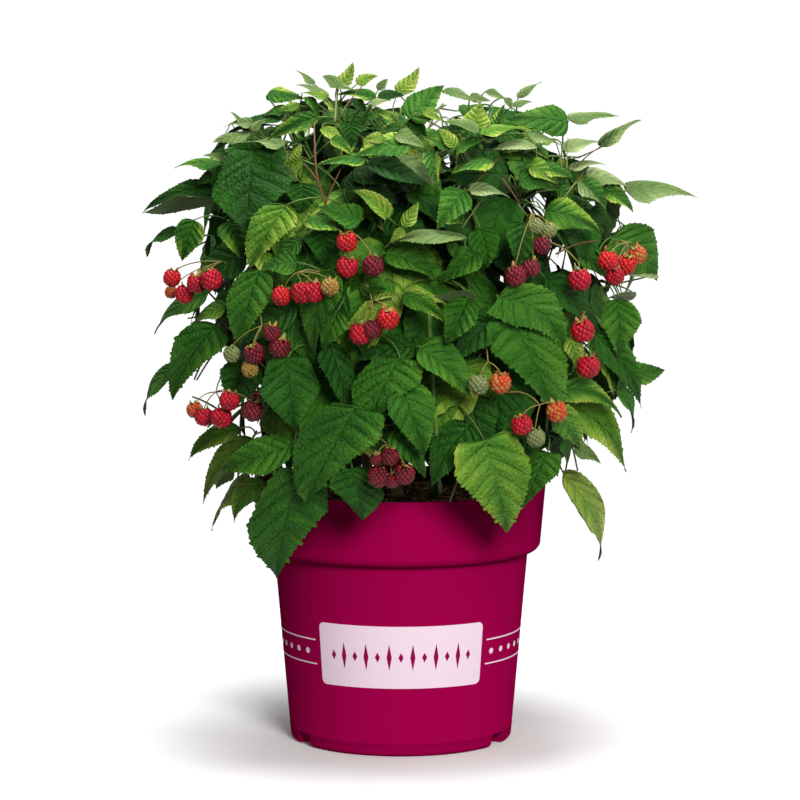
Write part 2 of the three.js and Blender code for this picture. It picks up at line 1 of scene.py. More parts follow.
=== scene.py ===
# %% [markdown]
# # A raspberry bush in its pot
# The frame holds a potted raspberry as plain solids: a moulded pot, its soil, seven canes, the side
# shoots that leave them, and the masses of leaves and fruit that they carry. This lesson gives each
# of them its real surface. A bush is many small things, so the work is to make a few good ones (a
# leaf, a fruit) and to let a rule set them out, the same rule that set out the solids.

# %% Open the frame
import math
from collections import namedtuple

import bmesh
import bpy
import numpy as np
from mathutils import Matrix, Vector, noise
from mathutils.bvhtree import BVHTree


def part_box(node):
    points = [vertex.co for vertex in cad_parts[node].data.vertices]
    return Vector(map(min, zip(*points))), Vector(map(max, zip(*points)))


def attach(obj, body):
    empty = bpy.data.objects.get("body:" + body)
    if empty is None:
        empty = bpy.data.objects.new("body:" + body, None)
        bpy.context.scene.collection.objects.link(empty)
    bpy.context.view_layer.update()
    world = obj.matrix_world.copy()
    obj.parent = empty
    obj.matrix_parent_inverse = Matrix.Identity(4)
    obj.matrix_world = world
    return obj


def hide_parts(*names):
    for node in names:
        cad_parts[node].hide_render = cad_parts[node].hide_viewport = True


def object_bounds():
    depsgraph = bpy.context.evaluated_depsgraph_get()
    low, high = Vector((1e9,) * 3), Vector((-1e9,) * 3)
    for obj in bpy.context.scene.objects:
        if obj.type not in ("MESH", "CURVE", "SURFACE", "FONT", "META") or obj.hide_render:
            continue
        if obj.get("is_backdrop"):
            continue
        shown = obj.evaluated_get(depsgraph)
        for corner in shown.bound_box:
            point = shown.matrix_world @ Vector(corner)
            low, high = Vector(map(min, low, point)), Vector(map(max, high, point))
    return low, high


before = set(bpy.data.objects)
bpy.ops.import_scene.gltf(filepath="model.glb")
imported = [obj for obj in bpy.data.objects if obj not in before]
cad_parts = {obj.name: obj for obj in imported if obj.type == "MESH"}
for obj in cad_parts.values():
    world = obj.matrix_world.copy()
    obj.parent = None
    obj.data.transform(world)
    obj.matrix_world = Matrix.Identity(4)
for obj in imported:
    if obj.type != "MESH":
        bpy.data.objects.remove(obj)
cad_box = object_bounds()
MM = 0.001
UP = Vector((0, 0, 1))
DOWN = Vector((0, 0, -1))
print("the solids fill", [round(high - low, 3) for low, high in zip(*cad_box)], "m")

# %% [markdown]
# ## Small tools
# A shader works with amounts of light, and colours are easier to name as screen values, so one
# function turns the second into the first. Chance is made by a small generator that gives the same
# rolls for the same seed every time, so that the bush never changes from one run to the next.

# %% Colours, places and dice


def linear(red, green, blue):
    """A screen colour, each part from 0 to 255, as the amounts of light that a shader uses."""
    parts = [value / 255 for value in (red, green, blue)]
    return tuple(v / 12.92 if v <= 0.04045 else ((v + 0.055) / 1.055) ** 2.4 for v in parts)


def around(turn, radius, height):
    """A point at a turn about the pot's axis, in degrees from the front towards +X."""
    angle = math.radians(turn)
    return Vector((radius * math.sin(angle), -radius * math.cos(angle), height))


def dice_for(seed):
    """The same numbers in the same order for the same seed, each from 0 to 1."""
    state = (seed + 1) * 7919

    def roll():
        nonlocal state
        state = state * 16807 % 2147483647
        return state / 2147483647

    roll()
    return roll


def between(low, high, roll):
    return low + (high - low) * roll


# %% [markdown]
# ## A line to grow along
# Canes, twigs and stalks all follow smooth lines. Each is held as a row of close points with the
# distance travelled at each, so that a place halfway along it is easy to look up. The canes follow a
# spline through named points, as in the solids, and shoots and stalks a curve pulled by one corner.

# %% Lines


class Line:
    """A smooth line through space, looked up by the share of its length."""

    def __init__(self, points):
        self.points = np.array(points, float)
        steps = np.linalg.norm(np.diff(self.points, axis=0), axis=1)
        self.travel = np.concatenate([[0], np.cumsum(steps)])
        self.length = self.travel[-1]

    def at(self, share):
        travel = share * self.length
        return Vector([np.interp(travel, self.travel, self.points[:, i]) for i in range(3)])

    def way(self, share):
        return (self.at(min(1, share + 0.02)) - self.at(max(0, share - 0.02))).normalized()


def arched(start, corner, end, steps=16):
    """A curve from start to end that leans towards a corner."""
    shares = [i / steps for i in range(steps + 1)]
    return Line([(1 - t) ** 2 * start + 2 * t * (1 - t) * corner + t * t * end for t in shares])


def splined(points, steps=20):
    """A curve through points, its pull evened by the root of the distance between them."""
    ends = [2 * points[0] - points[1], *points, 2 * points[-1] - points[-2]]
    found = []
    for i in range(len(points) - 1):
        p0, p1, p2, p3 = ends[i : i + 4]
        d0, d1, d2 = ((b - a).length ** 0.5 for a, b in ((p0, p1), (p1, p2), (p2, p3)))
        leave = ((p1 - p0) / d0 - (p2 - p0) / (d0 + d1) + (p2 - p1) / d1) * d1
        reach = ((p2 - p1) / d1 - (p3 - p1) / (d1 + d2) + (p3 - p2) / d2) * d1
        for step in range(steps):
            t = step / steps
            bend = (-3 * p1 + 3 * p2 - 2 * leave - reach) * t * t
            found.append(p1 + leave * t + bend + (2 * p1 - 2 * p2 + leave + reach) * t**3)
    return Line([*found, points[-1]])


# %% [markdown]
# ## The camera
# The bush is seen from its front, from about as high as its own top, through a long lens that keeps
# the pot's sides nearly upright. The lens is also given in pixels of the square frame, so that a place
# in the frame can be turned into a line of sight.

# %% Camera
FRAME_SIDE = 800
LENS, SENSOR = 141.3, 36.0
FOCAL = LENS / SENSOR * FRAME_SIDE
EYE = Vector((-0.0009, -2.8255, 0.5958))
LOOK_DOWN = math.radians(5.84)

camera_data = bpy.data.cameras.new("camera")
camera_data.lens = LENS
camera_data.sensor_width = SENSOR
camera_data.clip_end = 50
camera = bpy.data.objects.new("camera", camera_data)
camera.location = EYE
camera.rotation_euler = (math.pi / 2 - LOOK_DOWN, 0, 0)
bpy.context.scene.collection.objects.link(camera)
bpy.context.scene.camera = camera
FORWARD = Vector((0, math.cos(LOOK_DOWN), -math.sin(LOOK_DOWN)))
UPWARD = Vector((0, math.sin(LOOK_DOWN), math.cos(LOOK_DOWN)))


def seen_at(px, py, depth):
    """The point seen at a pixel of the frame, on the upright plane Y = depth."""
    sight = FORWARD + Vector((1, 0, 0)) * (px - FRAME_SIDE / 2) / FOCAL
    sight += UPWARD * (FRAME_SIDE / 2 - py) / FOCAL
    return EYE + sight * (depth - EYE.y) / sight.y


print("the middle of the rim is seen at", [round(v, 3) for v in seen_at(401, 505, -0.13)])

# %% [markdown]
# ## Light and floor
# The studio is plain: a pale floor under an even white sky, one soft lamp in front, one large one above,
# and a smaller one at the right that draws a paler line down the pot's edge. The sky that lights the
# leaves is dimmer than the sky that the camera sees, so the gaps between leaves stay deep. For the same
# reason the bright floor isn't a source of light for what stands on it.

# %% Studio
SKY_LIGHT, SKY_SEEN = 0.24, 1.05
bpy.context.scene.view_settings.view_transform = "Standard"
sky = bpy.data.worlds.new("sky")
bpy.context.scene.world = sky
sky.use_nodes = True
tree = sky.node_tree
lit, seen = tree.nodes["Background"], tree.nodes.new("ShaderNodeBackground")
for background, strength in ((lit, SKY_LIGHT), (seen, SKY_SEEN)):
    background.inputs["Color"].default_value = (1, 1, 1, 1)
    background.inputs["Strength"].default_value = strength
mix, path = tree.nodes.new("ShaderNodeMixShader"), tree.nodes.new("ShaderNodeLightPath")
tree.links.new(path.outputs["Is Camera Ray"], mix.inputs["Fac"])
tree.links.new(lit.outputs[0], mix.inputs[1])
tree.links.new(seen.outputs[0], mix.inputs[2])
tree.links.new(mix.outputs[0], tree.nodes["World Output"].inputs["Surface"])


def soft_lamp(name, place, target, side, watts, colour=(1, 1, 1)):
    lamp = bpy.data.lights.new(name, "AREA")
    lamp.shape, lamp.size, lamp.energy, lamp.color = "DISK", side, watts, colour
    made = bpy.data.objects.new(name, lamp)
    made.location = place
    made.rotation_euler = (Vector(target) - Vector(place)).to_track_quat("-Z", "Y").to_euler()
    bpy.context.scene.collection.objects.link(made)


soft_lamp("front_lamp", (0.45, -1.85, 1.05), (0, 0, 0.28), 0.7, 43, (1, 0.99, 0.97))
soft_lamp("top_lamp", (0.05, -0.05, 2.3), (0, 0, 0.4), 1.5, 78)
soft_lamp("edge_lamp", (1.7, 0.5, 0.6), (0, 0, 0.3), 0.6, 6)


def plain_finish(name, colour, roughness, gloss=0.5):
    """A material whose colour is the same all over."""
    material = bpy.data.materials.new(name)
    material.use_nodes = True
    shader = material.node_tree.nodes["Principled BSDF"]
    shader.inputs["Base Color"].default_value = (*colour, 1)
    shader.inputs["Roughness"].default_value = roughness
    shader.inputs["Specular IOR Level"].default_value = gloss
    return material


def piece_of(name, shape, *materials, smooth=True):
    """Makes a bmesh an object in the scene, and frees it."""
    mesh = bpy.data.meshes.new(name)
    shape.to_mesh(mesh)
    shape.free()
    for material in materials:
        mesh.materials.append(material)
    mesh.polygons.foreach_set("use_smooth", [smooth] * len(mesh.polygons))
    made = bpy.data.objects.new(name, mesh)
    bpy.context.scene.collection.objects.link(made)
    return made


floor_shape = bmesh.new()
bmesh.ops.create_circle(floor_shape, cap_ends=True, segments=96, radius=0.95)
floor = piece_of("floor", floor_shape, plain_finish("pale_floor", (0.87, 0.87, 0.87), 0.7, 0.1))
floor.visible_diffuse = False
floor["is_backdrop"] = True

# %% [markdown]
# ## Grain and gloss
# Real surfaces are never quite even. Two small functions add that to any finish: one lets the gloss
# wander from place to place, and the other adds a fine relief that light catches. Both read Object
# coordinates, so the pattern stays where it is whatever the mesh.

# %% Finish helpers


def pattern(material, kind, scale, **settings):
    """A noise or cell pattern in the piece's own space, with its settings."""
    nodes, links = material.node_tree.nodes, material.node_tree.links
    source = nodes.get("Texture Coordinate") or nodes.new("ShaderNodeTexCoord")
    made = nodes.new(kind)
    links.new(source.outputs["Object"], made.inputs["Vector"])
    made.inputs["Scale"].default_value = scale
    for socket, value in settings.items():
        made.inputs[socket].default_value = value
    return made


def ranged(material, value, low, high):
    """A value from 0 to 1, spread from low to high."""
    made = material.node_tree.nodes.new("ShaderNodeMapRange")
    made.inputs["To Min"].default_value = low
    made.inputs["To Max"].default_value = high
    material.node_tree.links.new(value, made.inputs["Value"])
    return made.outputs["Result"]


def vary_gloss(material, scale, low, high):
    clouds = pattern(material, "ShaderNodeTexNoise", scale, Detail=2)
    shader = material.node_tree.nodes["Principled BSDF"]
    rough = ranged(material, clouds.outputs[0], low, high)
    material.node_tree.links.new(rough, shader.inputs["Roughness"])


def add_relief(material, value, depth, strength=1.0):
    """Relief as deep as depth, in metres, where value runs from 0 to 1."""
    nodes, links = material.node_tree.nodes, material.node_tree.links
    bump = nodes.new("ShaderNodeBump")
    bump.inputs["Distance"].default_value = depth
    bump.inputs["Strength"].default_value = strength
    links.new(value, bump.inputs["Height"])
    links.new(bump.outputs[0], nodes["Principled BSDF"].inputs["Normal"])


def two_tones(material, value, first, second, low=0.35, high=0.65):
    """Runs the base colour from one tone to another as value rises."""
    nodes, links = material.node_tree.nodes, material.node_tree.links
    ramp = nodes.new("ShaderNodeValToRGB")
    ramp.color_ramp.elements[0].position, ramp.color_ramp.elements[0].color = low, (*first, 1)
    ramp.color_ramp.elements[1].position, ramp.color_ramp.elements[1].color = high, (*second, 1)
    links.new(value, ramp.inputs["Fac"])
    links.new(ramp.outputs["Color"], nodes["Principled BSDF"].inputs["Base Color"])


# %% [markdown]
# ## The pot
# A container pot is blown or injection moulded: a thin cone with a deep collar whose lower corner is
# well rounded, a rolled lip, and a foot with three notches that let water out. It is round, so its
# section is drawn once and spun. The notches are the ends of channels under the floor, so they are
# cut with a Boolean, after their roofs are joined to the floor.

# %% Pot section
pot_low, pot_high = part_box("pot")
RIM_HEIGHT = pot_high.z
RIM = (pot_high.x - pot_low.x) / 2
WALL = 2.2 * MM
STEP_HEIGHT = RIM_HEIGHT - 59 * MM
COLLAR, COLLAR_ROUND = RIM - 4.4 * MM, 8 * MM
BODY_TOP, FOOT, UNDERCUT = RIM - 15.7 * MM, RIM - 30.8 * MM, 1.5 * MM
FOOT_ROUND, LIP_ROUND = 4.5 * MM, 1.1 * MM
MOULD_LINE = 11 * MM


def body_radius(height):
    return FOOT + (BODY_TOP - FOOT) * height / STEP_HEIGHT


def arc(middle, radius, first, last, steps):
    """Points round part of a circle, angles in degrees from level outwards."""
    angles = [math.radians(first + (last - first) * i / steps) for i in range(steps + 1)]
    return [(middle[0] + radius * math.cos(a), middle[1] + radius * math.sin(a)) for a in angles]


def pot_section():
    """The pot's wall in section, from under its middle, round the foot, collar and lip, and inside."""
    foot_side = body_radius(FOOT_ROUND)
    foot = arc((foot_side - FOOT_ROUND, FOOT_ROUND), FOOT_ROUND, -90, 0, 6)
    line = [(body_radius(h) + bulge, h) for h, bulge in
            ((MOULD_LINE, 0), (MOULD_LINE + 0.4 * MM, 0.25 * MM), (MOULD_LINE + 1.2 * MM, 0.25 * MM),
             (MOULD_LINE + 1.6 * MM, 0))]
    step = [(body_radius(STEP_HEIGHT) - 0.2 * MM, STEP_HEIGHT - MM),
            (body_radius(STEP_HEIGHT) + 0.2 * MM, STEP_HEIGHT + UNDERCUT - 0.3 * MM),
            (body_radius(STEP_HEIGHT) + MM, STEP_HEIGHT + UNDERCUT)]
    under = COLLAR - COLLAR_ROUND
    corner = arc((under, STEP_HEIGHT + COLLAR_ROUND), COLLAR_ROUND, -84, 0, 9)
    lip_outside = arc((RIM - LIP_ROUND, RIM_HEIGHT - LIP_ROUND), LIP_ROUND, 0, 90, 4)
    lip_inside = arc((RIM - WALL + LIP_ROUND, RIM_HEIGHT - LIP_ROUND), LIP_ROUND, 90, 180, 4)
    inside = [(COLLAR - WALL, STEP_HEIGHT + COLLAR_ROUND), (under - WALL, STEP_HEIGHT + UNDERCUT + WALL),
              (body_radius(STEP_HEIGHT) - WALL, STEP_HEIGHT + UNDERCUT),
              (foot_side - WALL, FOOT_ROUND + WALL), (foot_side - WALL - FOOT_ROUND, WALL), (0, WALL)]
    return [(0, 0), *foot, *line, *step, *corner, *lip_outside, *lip_inside, *inside]


def spun(section, steps):
    """A section of (radius, height) points turned all round the pot's axis."""
    shape = bmesh.new()
    points = [shape.verts.new((radius, 0, height)) for radius, height in section]
    edges = [shape.edges.new(pair) for pair in zip(points, points[1:])]
    bmesh.ops.spin(shape, geom=points + edges, axis=(0, 0, 1), angle=math.tau, steps=steps,
                   use_merge=True)
    bmesh.ops.remove_doubles(shape, verts=shape.verts, dist=0.01 * MM)
    bmesh.ops.recalc_face_normals(shape, faces=shape.faces)
    return shape


# %% [markdown]
# A channel is a bar with a slightly narrower top. It is a block whose upper corners are moved in,
# laid from near the middle out past the foot. Grown by the wall's thickness it is the roof, which is
# kept only inside the pot, and at its own size it is the cutter.

# %% Pot with drained foot
CHANNEL_TURNS = (60, 180, 300)
CHANNEL_WIDTH, CHANNEL_SLOPE, CHANNEL_HEIGHT, CHANNEL_START = 25 * MM, 2.5 * MM, 12 * MM, 36 * MM
POT_STEPS = 160

pot_plastic = plain_finish("pot_plastic", linear(150, 2, 68), 0.5, 0.0)
vary_gloss(pot_plastic, 18, 0.45, 0.58)
orange_peel = pattern(pot_plastic, "ShaderNodeTexNoise", 900, Detail=1)
add_relief(pot_plastic, orange_peel.outputs[0], 0.05 * MM, 0.35)


def channel_bar(turn, grow):
    shape = bmesh.new()
    bmesh.ops.create_cube(shape, size=1)
    start, end = CHANNEL_START - grow, RIM + grow
    foot = MM if grow else -MM
    for corner in shape.verts:
        narrowing = CHANNEL_SLOPE if corner.co.z > 0 else 0
        corner.co.x *= CHANNEL_WIDTH + 2 * (grow - narrowing)
        corner.co.y = -end if corner.co.y < 0 else -start
        corner.co.z = CHANNEL_HEIGHT + grow if corner.co.z > 0 else foot
    bmesh.ops.rotate(shape, verts=shape.verts, matrix=Matrix.Rotation(math.radians(turn), 3, "Z"))
    return shape


def combine(target, other, operation):
    """Applies one Boolean to an object and removes the other one."""
    step = target.modifiers.new(operation, "BOOLEAN")
    step.operation, step.solver, step.object = operation, "EXACT", other
    made = bpy.data.meshes.new_from_object(target.evaluated_get(bpy.context.evaluated_depsgraph_get()))
    target.modifiers.clear()
    target.data = made
    bpy.data.objects.remove(other)


pot = piece_of("pot_shell", spun(pot_section(), POT_STEPS), pot_plastic)
for turn in CHANNEL_TURNS:
    roof = piece_of("roof", channel_bar(turn, WALL))
    filling = [(0, 0), (body_radius(0) - WALL, 0), (body_radius(20 * MM) - WALL / 2, 20 * MM), (0, 20 * MM)]
    combine(roof, piece_of("filling", spun(filling, POT_STEPS)), "INTERSECT")
    combine(pot, roof, "UNION")
for turn in CHANNEL_TURNS:
    combine(pot, piece_of("channel", channel_bar(turn, 0)), "DIFFERENCE")
pot.data.polygons.foreach_set("use_smooth", [True] * len(pot.data.polygons))
pot.data.set_sharp_from_angle(angle=math.radians(38))
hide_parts("pot")
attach(pot, "root")
print("the pot has", len(pot.data.polygons), "faces and is", round(2 * RIM, 3), "m across its rim")

# %% [markdown]
# ## The printed band
# A nursery pot often has a pale printed field on its front and a line of ornament round it. Print is
# ink on the wall, so each figure here is a very thin layer, cut flat and wrapped onto the cone: a
# field with round corners and a row of lozenges in it, two rules round the pot, and a row of dots.

# %% Print wrapped on the cone
PRINT_LIFT, INK, WRAP_SLICES = 0.12 * MM, 0.1 * MM, 72
FIELD_HEIGHT, FIELD_HALF_ANGLE, FIELD_MIDDLE = 56 * MM, 40.9, 90.4 * MM
PRINT_RADIUS = body_radius(FIELD_MIDDLE)
print_ink = plain_finish("print_ink", linear(238, 214, 229), 0.6, 0.02)
vary_gloss(print_ink, 40, 0.45, 0.6)


def rounded_field(half_width, half_height, corner):
    """A flat upright field with round corners, as one face, its middle at the origin."""
    shape = bmesh.new()
    points = []
    for x, z, first in ((1, 1, 0), (-1, 1, 90), (-1, -1, 180), (1, -1, 270)):
        middle = (x * (half_width - corner), z * (half_height - corner))
        points += arc(middle, corner, first, first + 90, 6)
    shape.faces.new([shape.verts.new((x, 0, z)) for x, z in points])
    return shape


def wrapped(shape, turn=0.0, lift=PRINT_LIFT):
    """Slices a flat figure every few degrees, wraps it onto the pot's cone and gives it thickness."""
    width = PRINT_RADIUS * math.pi
    for i in range(1, WRAP_SLICES):
        x = (i / WRAP_SLICES - 0.5) * width
        geometry = shape.verts[:] + shape.edges[:] + shape.faces[:]
        bmesh.ops.bisect_plane(shape, geom=geometry, plane_co=(x, 0, 0), plane_no=(1, 0, 0))
    made = bmesh.ops.extrude_face_region(shape, geom=shape.faces[:])
    raised = [v for v in made["geom"] if isinstance(v, bmesh.types.BMVert)]
    for point in raised:
        point.co.y = -INK
    for point in shape.verts:
        height = FIELD_MIDDLE + point.co.z
        radius = body_radius(height) + lift - point.co.y
        point.co = around(turn + math.degrees(point.co.x / PRINT_RADIUS), radius, height)
    bmesh.ops.recalc_face_normals(shape, faces=shape.faces)
    return shape


half_width = math.radians(FIELD_HALF_ANGLE) * PRINT_RADIUS
field = piece_of("printed_field", wrapped(rounded_field(half_width, FIELD_HEIGHT / 2, 5 * MM)), print_ink)
print("the printed field is", round(2 * half_width, 3), "m wide round the cone")

# %% Lozenges on the field
LOZENGES, LOZENGE_STEP, LOZENGE_WIDTH, LOZENGE_HEIGHTS = 13, 10.4 * MM, 4.6 * MM, (9 * MM, 24 * MM)
lozenge_ink = plain_finish("lozenge_ink", linear(146, 8, 78), 0.5, 0.02)
vary_gloss(lozenge_ink, 40, 0.45, 0.6)
figure = bmesh.new()
for i in range(LOZENGES):
    x = (i - (LOZENGES - 1) / 2) * LOZENGE_STEP
    wide, high = LOZENGE_WIDTH / 2, LOZENGE_HEIGHTS[i % 2] / 2
    corners = ((wide, 0), (0, high), (-wide, 0), (0, -high))
    figure.faces.new([figure.verts.new((x + across, 0, up)) for across, up in corners])
lozenges = piece_of("printed_lozenges", wrapped(figure, lift=PRINT_LIFT + INK), lozenge_ink)

# %% Rules and dots round the pot
RULE_GAP, RULE_WIDTH, DOT_RADIUS, DOT_STEP = 11 * MM, 1.3 * MM, 2.6 * MM, 7.5
ornament = bmesh.new()
RULE_END, RULE_START = 178, FIELD_HALF_ANGLE + 3


def add_print(figure):
    """Adds one wrapped figure to the ornament."""
    mesh = bpy.data.meshes.new("figure")
    figure.to_mesh(mesh)
    figure.free()
    ornament.from_mesh(mesh)
    bpy.data.meshes.remove(mesh)


for side in (-1, 1):
    middle_turn = side * (RULE_START + RULE_END) / 2
    rule_half = math.radians((RULE_END - RULE_START) / 2) * PRINT_RADIUS
    for height in (-RULE_GAP, RULE_GAP):
        rule = rounded_field(rule_half, RULE_WIDTH / 2, RULE_WIDTH / 2.2)
        bmesh.ops.translate(rule, verts=rule.verts, vec=(0, 0, height))
        add_print(wrapped(rule, middle_turn))
for i in range(int((360 - 2 * RULE_START) / DOT_STEP)):
    dot = rounded_field(DOT_RADIUS, DOT_RADIUS, DOT_RADIUS * 0.98)
    add_print(wrapped(dot, RULE_START + (i + 0.5) * DOT_STEP))
ornament_piece = piece_of("printed_ornament", ornament, print_ink)
for figure in (field, lozenges, ornament_piece):
    figure.data.set_sharp_from_angle(angle=math.radians(30))
    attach(figure, "root")
print("the ornament has", len(ornament_piece.data.polygons), "faces")

# %% [markdown]
# ## Many small things in one piece
# Leaves, stalks, fruits and crumbs number in the hundreds. One object each would be slow, so each kind
# is gathered in a heap: a small shape is made once with bmesh, its corners are read as an array, and
# copies of that array are bent, turned and stacked, then made one mesh at the end.

# %% Heaps and templates


class Template:
    """A small shape's corners, and its faces grouped by how many corners they have."""

    def __init__(self, shape):
        shape.verts.index_update()
        self.points = np.array([v.co for v in shape.verts], float)
        sizes = sorted({len(f.verts) for f in shape.faces})
        faces = [[[v.index for v in f.verts] for f in shape.faces if len(f.verts) == n] for n in sizes]
        self.faces = [np.array(group) for group in faces]
        shape.free()

    def face_middles(self):
        return np.concatenate([self.points[group].mean(axis=1) for group in self.faces])


class Heap:
    """Gathers copies of small shapes, to be joined as one piece."""

    def __init__(self):
        self.points, self.faces, self.finishes, self.maps, self.count = [], [], [], [], 0

    def add(self, points, faces, finish, flat=None):
        """points is (copies, corners, 3). finish is the number of a material, one or (copies, faces).
        flat is the place of each corner on the shape's own flat map."""
        copies, corners = points.shape[:2]
        starts = self.count + corners * np.arange(copies)
        finish = np.broadcast_to(finish, (copies, sum(len(group) for group in faces)))
        first = 0
        for group in faces:
            self.faces.append((group[None] + starts[:, None, None]).reshape(-1, group.shape[1]))
            self.finishes.append(finish[:, first : first + len(group)].ravel())
            if flat is not None:
                self.maps.append(np.tile(flat[group.ravel()], (copies, 1)))
            first += len(group)
        self.points.append(points.reshape(-1, 3))
        self.count += copies * corners

    def add_tube(self, line, root, tip, steps, finish, sides=4):
        """A thin round limb along a line, closed at both ends."""
        shares = np.linspace(0, 1, steps + 1)
        places = np.array([line.at(t) for t in shares])
        ways = np.array([line.way(t) for t in shares])
        aside = np.array((1, 0, 0)) if abs(ways[0][0]) < 0.8 else np.array((0, 1, 0))
        across = np.cross(ways, aside)
        across /= np.linalg.norm(across, axis=1)[:, None]
        through = np.cross(ways, across)
        turns = np.arange(sides) * math.tau / sides
        radii = (root + (tip - root) * shares)[:, None, None]
        cosines, sines = np.cos(turns)[None, :, None], np.sin(turns)[None, :, None]
        ring = across[:, None] * cosines + through[:, None] * sines
        points = (places[:, None] + radii * ring).reshape(1, -1, 3)
        low = np.arange(steps)[:, None] * sides + np.arange(sides)[None]
        on = np.arange(steps)[:, None] * sides + (np.arange(sides)[None] + 1) % sides
        walls = np.stack([low, on, on + sides, low + sides], axis=2).reshape(-1, 4)
        ends = np.array([np.arange(sides)[::-1], steps * sides + np.arange(sides)])
        self.add(points, [walls, ends], finish)

    def piece(self, name, slot, materials, replaced=(), crease=None):
        mesh = bpy.data.meshes.new(name)
        faces = [face for group in self.faces for face in group.tolist()]
        mesh.from_pydata(np.concatenate(self.points).tolist(), [], faces)
        for material in materials:
            mesh.materials.append(material)
        mesh.polygons.foreach_set("material_index", np.concatenate(self.finishes).astype(np.int32))
        mesh.polygons.foreach_set("use_smooth", [True] * len(mesh.polygons))
        if self.maps:
            mesh.uv_layers.new(name="flat").data.foreach_set("uv", np.concatenate(self.maps).ravel())
        if crease:
            mesh.set_sharp_from_angle(angle=math.radians(crease))
        mesh.update()
        made = bpy.data.objects.new(name, mesh)
        bpy.context.scene.collection.objects.link(made)
        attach(made, "root")
        if replaced:
            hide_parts(*replaced)
        triangles = sum(len(face) - 2 for face in faces)
        print(name, "has", triangles, "triangles")
        return made


def turned_copies(points, frames, sizes, places):
    """Copies of a template: frames is (copies, 3 axes, 3), sizes (copies, 3) and places (copies, 3)."""
    stretched = points[None] * np.asarray(sizes)[:, None]
    return np.einsum("nvi,nij->nvj", stretched, np.asarray(frames)) + np.asarray(places)[:, None]


def frame_along(way, face):
    """Axes for a small shape: its own Z along way, its own Y as near to face as it goes."""
    way = np.asarray(way, float) / np.linalg.norm(way)
    side = np.cross(np.asarray(face, float), way)
    side /= np.linalg.norm(side)
    return np.array([side, np.cross(way, side), way])


# %% [markdown]
# ## Potting soil
# Peat-based potting soil is dark, loose and uneven, with crumbs of bark and pale bits of straw. The
# body is spun like the pot, with close rings on top that noise then lifts and lowers. The crumbs are
# small lumps strewn on it, and the straw is thin sticks.

# %% Soil body
SOIL_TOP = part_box("soil")[1].z
SOIL_GAP, SOIL_FOOT, SOIL_RINGS, SOIL_STEPS = 0.3 * MM, 16 * MM, 40, 130
edge = COLLAR - WALL - SOIL_GAP


def soil_height(x, y):
    """How high the soil's surface is: clods and grit, and peat heaped against the wall, which is also
    painted shade: dark soil over the inside of the pot's wall, where that lies in shade.
    """
    spread = math.hypot(x, y) / RIM
    clods = noise.noise(Vector((x, y, 0.3)) * 62) * 3.4 * MM
    grains = noise.noise(Vector((x, y, 4)) * 170) * 1.5 * MM
    # Peat heaped at the wall: partly real, partly painted shade over the inside of the pot's wall.
    heaped = 9 * MM * max(0, 1 - (edge - math.hypot(x, y)) / (6 * MM)) ** 2
    return SOIL_TOP - 2 * MM - 4 * MM * spread**2 + (clods + grains) + heaped


soil_section = [(0, SOIL_FOOT), (body_radius(SOIL_FOOT) - WALL - SOIL_GAP, SOIL_FOOT),
                (body_radius(STEP_HEIGHT) - WALL - SOIL_GAP, STEP_HEIGHT + UNDERCUT),
                (COLLAR - COLLAR_ROUND - WALL, STEP_HEIGHT + UNDERCUT + WALL + SOIL_GAP),
                (edge, STEP_HEIGHT + COLLAR_ROUND)]
soil_section += [(edge * (1 - i / SOIL_RINGS), SOIL_TOP - 6 * MM) for i in range(SOIL_RINGS + 1)]
soil_shape = spun(soil_section, SOIL_STEPS)
for point in soil_shape.verts:
    if point.co.z > SOIL_TOP - 7 * MM:
        point.co.z = soil_height(point.co.x, point.co.y)
peat = plain_finish("peat", linear(38, 27, 19), 0.9, 0.2)
grit = pattern(peat, "ShaderNodeTexNoise", 420, Detail=6, Roughness=0.7)
two_tones(peat, grit.outputs[0], linear(24, 16, 11), linear(84, 58, 38), 0.38, 0.68)
add_relief(peat, grit.outputs[0], 1.4 * MM, 0.9)
soil = piece_of("soil_body", soil_shape, peat)
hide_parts("soil")
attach(soil, "root")

# %% Crumbs and straw
CRUMBS, STRAWS = 1100, 220
crumb_tones = ((36, 24, 16), (70, 46, 29), (104, 74, 46))
crumb_finishes = [plain_finish(f"crumb_{i + 1}", linear(*tone), 0.85, 0.2)
                  for i, tone in enumerate(crumb_tones)]
straw_finish = plain_finish("straw", linear(170, 132, 84), 0.7, 0.3)
for material in (*crumb_finishes, straw_finish):
    vary_gloss(material, 300, 0.7, 0.95)
lump = bmesh.new()
bmesh.ops.create_icosphere(lump, subdivisions=1, radius=1)
for point in lump.verts:
    point.co *= 1 + 0.35 * noise.noise(point.co * 3)
lump = Template(lump)
strewn, dice = Heap(), dice_for(71)
for i in range(CRUMBS):
    reach = (edge - 2 * MM) * math.sqrt(dice())
    spot = around(360 * dice(), reach, 0)
    size = between(0.6, 2.6, dice() ** 2) * MM
    spot.z = soil_height(spot.x, spot.y) + 0.3 * size
    sizes = [(size, size * between(0.5, 1, dice()), size * between(0.4, 0.8, dice()))]
    frame_now = frame_along((dice() - 0.5, dice() - 0.5, 1), (1, dice(), 0))
    strewn.add(turned_copies(lump.points, [frame_now], sizes, [spot]), lump.faces, int(3 * dice()))
for i in range(STRAWS):
    spot = around(360 * dice(), (edge - 12 * MM) * math.sqrt(dice()), 0)
    way = around(360 * dice(), between(3, 9, dice()) * MM, 0)
    ends = [spot - way, spot + way]
    for end in ends:
        end.z = soil_height(end.x, end.y) + 1.1 * MM
    strewn.add_tube(Line(ends), 0.5 * MM, 0.35 * MM, 1, 3)
strewn.piece("soil_crumbs", "potting_soil", [*crumb_finishes, straw_finish], crease=30)

# %% [markdown]
# ## The bush's plan
# Everything that grows starts from the same few sizes as the solids do. Six canes stand in a ring
# round a seventh. The crown is a barrel with round shoulders, and its masses stand on it in rows.
# The lines that follow work out each cane, shoot and stem in the way the solids were worked out.

